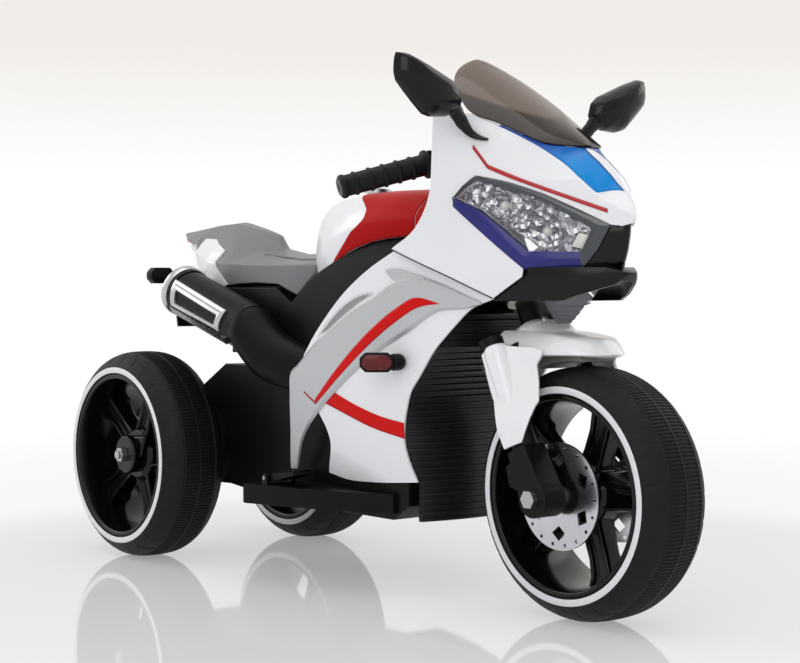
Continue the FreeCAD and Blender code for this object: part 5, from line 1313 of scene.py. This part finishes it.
def make_liner():
    """The grey filler between the visor and the front tyre."""
    turn = np.radians(np.linspace(LINER_REAR, LINER_FRONT, 24))
    arch = np.array(FRONT_AXLE) + LINER_RADIUS * np.stack((np.cos(turn), np.sin(turn)), axis=-1)
    outline = [*arch, (arch[-1][0] - 2, GUARD_EDGE + 5), (arch[0][0], GUARD_EDGE + 5)]
    liner = side_plate("guard_liner", outline, -LINER_HALF, LINER_HALF)
    fit(rounded(liner, 3, 2), liner_grey, body="steering")


def make_yoke():
    """The steering column, with its crown plate drawn down at both ends over the fork legs."""
    yoke = softened("steering_column", "steering_yoke", 1.5)
    points = points_of(yoke)
    droop = YOKE_DROOP * np.clip((np.abs(points[:, 1]) - YOKE_DROOP_START) / YOKE_DROOP_RUN, 0, 1)
    points -= droop[:, None] * np.array((-math.sin(RAKE), 0, math.cos(RAKE)))
    points[:, 1] = np.clip(points[:, 1], -YOKE_END, YOKE_END)
    fit(set_points(yoke, points), black_steel, "steering_column", body="steering")


def make_neck():
    """The grey shroud under the chin, ribbed across its lower half."""
    rings = []
    for number, level in enumerate(np.linspace(0, 1, 25)):
        stations = np.linspace(0, 1, len(NECK))
        back, front, half, z = [np.interp(level, stations, column) for column in np.array(NECK).T]
        groove = NECK_RIB * (number % 4 == 2) * (level > 0.3)
        front, half = front - groove, half - groove
        rings.append([(back, -half, z), (front, -half, z), (front, half, z), (back, half, z)])
    fit(smooth(lofted("neck_shroud", rings), 20), neck_grey)


make_fork_covers()
make_mudguard()
make_liner()
make_yoke()
make_neck()


def make_mirrors():
    peak = np.array(MIRROR_RIDGE)
    from_peak = spread(MIRROR_RIM + MIRROR_RIM[:1], 91, False)[:-1] - peak
    rings = [[(MIRROR_X + depth, y, z) for y, z in peak + from_peak * size] for depth, size in MIRROR_SHELL]
    shell = smooth(lofted("mirror_shell", rings), 32)
    line = spread(STALK_LINE, 24)
    turn = around(24)
    rings = []
    for point, ahead, (wide, thick) in zip(line, np.gradient(line, axis=0), spread(STALK_HALVES, 24)):
        ahead = Vector(ahead).normalized()
        flat = ahead.cross(Vector(STALK_FACING)).normalized()
        lift = np.array(flat.cross(ahead))
        rings.append(point + wide * np.cos(turn) * np.array(flat) + thick * np.sin(turn) * lift)
    stalk = smooth(lofted("mirror_stalk", rings), 45)
    fit(both_sides(one_piece("mirror_shells", shell, stalk)), black_gloss, "mirror_housings")
    pane = [(MIRROR_X - 0.6, y, z) for y, z in peak + from_peak * MIRROR_PANE]
    glass = rounded(cut_plate("mirror_panes", pane, (2.4, 0, 0)), 0.5, 2)
    fit(both_sides(glass), glass_silver, "mirror_glasses")


def make_grips():
    section = list(GRIP_FLANGE)
    for start in GRIP_RIBS:
        section += [(GRIP_RADIUS, start), (GRIP_RIB_RADIUS, start + 1), (GRIP_RIB_RADIUS, start + 3),
                    (GRIP_RADIUS, start + 4)]
    grip = turned("bar_grips", section + GRIP_END, GRIP_START, axis=GRIP_RUN, steps=40)
    fit(both_sides(rounded(grip, 0.5, 2)), grip_rubber, "grips", body="steering")


make_mirrors()
make_grips()


def make_exhaust_trim():
    """A bright frame on each can's outer face, a row of fins below it and a ring at its end."""
    start = np.array(EXHAUST_FRONT)
    back = np.array((-math.cos(EXHAUST_RISE), 0, math.sin(EXHAUST_RISE)))
    up = np.array((math.sin(EXHAUST_RISE), 0, math.cos(EXHAUST_RISE)))
    out = np.array((0, -1.0, 0))

    def on_can(points, lift):
        """Lays (along, rise) points on the can's round side, a distance out from it."""
        along, angle = points[..., :1], points[..., 1:] / EXHAUST_RADIUS
        return start + along * back + (EXHAUST_RADIUS + lift) * (np.cos(angle) * out + np.sin(angle) * up)

    def four_sides(corners):
        return joined_line(*[spread([corners[side], corners[(side + 1) % 4]], 31) for side in range(4)])

    shares, lifts = np.array(EXHAUST_PROFILE).T
    border = ruled(four_sides(EXHAUST_HOLE), four_sides(EXHAUST_FRAME), shares)
    border = sheet("exhaust_frame", on_can(border, lifts[:, None, None]))
    edit(border, (bpy.ops.mesh.remove_doubles, {"threshold": 0.00001}))
    border = smooth(walled(turned_out(border), EXHAUST_FRAME_WALL), 30)
    ring = turned("exhaust_ring", EXHAUST_RING, start + back * EXHAUST_RING_PLACE, axis=back, steps=64)
    fins = []
    for number in range(FIN_COUNT):
        foot = np.array(FIN_FOOT) + (FIN_START + number * FIN_PITCH, 0)
        fins.append(cut_plate("fin", on_can(foot, 0.0), FIN_HEIGHT * (0.82 * out - 0.57 * up)))
    fit(both_sides(one_piece("exhaust_trims", border, ring, *fins)), bright_trim, "exhaust_plates")


def make_exhaust_shrouds():
    """The black pipe that bends from each can down into the hull."""
    turn = around(40)
    circle = np.cos(turn) * (0, 1, 0) + np.sin(turn) * (0.3, 0, 0.95)
    rings = [np.array(place) + radius * circle for *place, radius in spread(SHROUD, 24)]
    fit(both_sides(smooth(lofted("exhaust_shrouds", rings), 50)), black_satin)


def make_signal_collars():
    """The thick black collar of each front turn signal's stalk."""
    collar = turned("signal_collars", SIGNAL_COLLAR, SIGNAL_COLLAR_PLACE, steps=32)
    fit(both_sides(rounded(collar, 1, 2)), black_satin)


def make_turn_signals():
    """Eight sided red lenses in black cases, and their stalks, the rear pair set lower."""
    cases, lenses = [], []
    for centre, turn, half, rise in SIGNALS:
        facing = np.array((math.cos(math.radians(turn)), -math.sin(math.radians(turn)), 0))
        across = np.array((-facing[1], facing[0], 0))
        for border, start, depth, pieces in ((0, -SIGNAL_DEPTH / 2, SIGNAL_DEPTH, cases),
                                             (SIGNAL_BORDER, SIGNAL_DEPTH / 2 - 3, 4.4, lenses)):
            cut, wide, high = SIGNAL_CORNER - 0.4 * border, half - border, rise - border
            corners = [(-wide + cut, -high), (wide - cut, -high), (wide, -high + cut), (wide, high - cut),
                       (wide - cut, high), (-wide + cut, high), (-wide, high - cut), (-wide, -high + cut)]
            outline = [np.array(centre) + start * facing + w * across + (0, 0, z) for w, z in corners]
            pieces.append(rounded(cut_plate("signal", outline, depth * facing), 1.3))
    fit(both_sides(one_piece("signal_cases", *cases)), black_satin)
    fit(both_sides(one_piece("turn_lenses", *lenses)), signal_lens, "turn_signal_lenses")
    stalks = softened("turn_signal_stalks", "signal_stalks", 1.5)
    points = points_of(stalks)
    points[points[:, 0] < 0, 2] -= REAR_SIGNAL_DROP
    fit(set_points(stalks, points), black_satin, "turn_signal_stalks")


make_exhaust_trim()
make_exhaust_shrouds()
make_signal_collars()
make_turn_signals()
for node, name, width, segments in SOFTENED:
    fit(softened(node, name, width, segments), black_gloss if node == "chin_spoiler" else black_satin, node)


def make_world():
    """Plain studio light; what the camera and reflections see fades from white to pale beige higher up."""
    world = bpy.data.worlds.new("studio")
    bpy.context.scene.world = world
    world.use_nodes = True
    sky = Nodes(world.node_tree)
    light = sky.tree.nodes["Background"]
    light.inputs["Color"].default_value = WORLD_LIGHT
    light.inputs["Strength"].default_value = WORLD_STRENGTH
    fade = sky.node("ShaderNodeValToRGB", {0: sky.part("Z", sky.place("Generated"))})
    white, beige = fade.socket.node.color_ramp.elements
    white.position = 0.07
    white.color = (1, 1, 1, 1)
    beige.position = 0.15
    beige.color = tone(240, 236, 231)
    backdrop = sky.node("ShaderNodeBackground", {"Color": fade})
    seen = sky.ray("Camera").math("MAXIMUM", sky.ray("Transmission")).math("MAXIMUM", sky.ray("Glossy"))
    surface = sky.node("ShaderNodeMixShader", {0: seen, 1: Value(sky, light.outputs[0]), 2: backdrop})
    sky.feed(sky.tree.nodes["World Output"].inputs["Surface"], surface)


def make_floor():
    """A pale floor that turns plain white further out and mirrors the object close to it."""
    deselect()
    bpy.ops.mesh.primitive_plane_add(size=40)
    floor = named("studio_floor")
    finish = Finish("floor_white", "white_shell", specular_ior_level=0.0)
    cloud = finish.cloud(0.8)
    paint = finish.blend(cloud, (246, 246, 248), (242, 243, 246))
    finish.surface(base_color=paint, roughness=0.5 + 0.05 * cloud)
    away = finish.node("ShaderNodeVectorMath", {0: finish.place()}, output="Value", operation="LENGTH")
    white = finish.between(away, 0.7, 2.6, 0.5, 1.0) * (finish.ray("Camera") + finish.ray("Glossy"))
    glow = finish.node("ShaderNodeEmission", {"Color": (1.0, 1.0, 1.0, 1.0), "Strength": 1.0})
    lit = Value(finish, finish.shader.outputs[0])
    plain = finish.node("ShaderNodeMixShader", {0: white, 1: lit, 2: glow})
    polish = finish.node("ShaderNodeBsdfGlossy", {"Roughness": 0.05})
    sheen = finish.between(away, 0.7, 1.0, 1.0, 0.0) * finish.node("ShaderNodeFresnel", {"IOR": 1.45})
    surface = finish.node("ShaderNodeMixShader", {0: sheen, 1: plain, 2: polish})
    finish.feed(finish.tree.nodes["Material Output"].inputs["Surface"], surface)
    floor.data.materials.append(finish.material)


def placed(name, data, place):
    holder = bpy.data.objects.new(name, data)
    bpy.context.collection.objects.link(holder)
    holder.location = place
    return holder


def make_lamps():
    for name, place, aim, size, power in LAMPS:
        lamp = bpy.data.lights.new(name, "AREA")
        lamp.shape = "SQUARE"
        lamp.size = size
        lamp.energy = power
        ahead = Vector(aim) - Vector(place)
        placed(name, lamp, place).rotation_euler = ahead.to_track_quat("-Z", "Y").to_euler()


def make_camera():
    """The photograph's camera."""
    camera = placed("photo_camera", bpy.data.cameras.new("photo_camera"), Vector(CAMERA_PLACE) * MM)
    level = math.cos(CAMERA_ELEVATION)
    east, north = math.sin(CAMERA_AZIMUTH) * level, math.cos(CAMERA_AZIMUTH) * level
    back = Vector((east, -north, math.sin(CAMERA_ELEVATION)))
    camera.rotation_mode = "QUATERNION"
    camera.rotation_quaternion = (-back).to_track_quat("-Z", "Y")
    camera.data.lens = CAMERA_LENS
    camera.data.sensor_width = CAMERA_SENSOR
    bpy.context.scene.camera = camera


make_floor()
make_world()
make_lamps()
make_camera()
bpy.context.scene.view_settings.view_transform = "Standard"
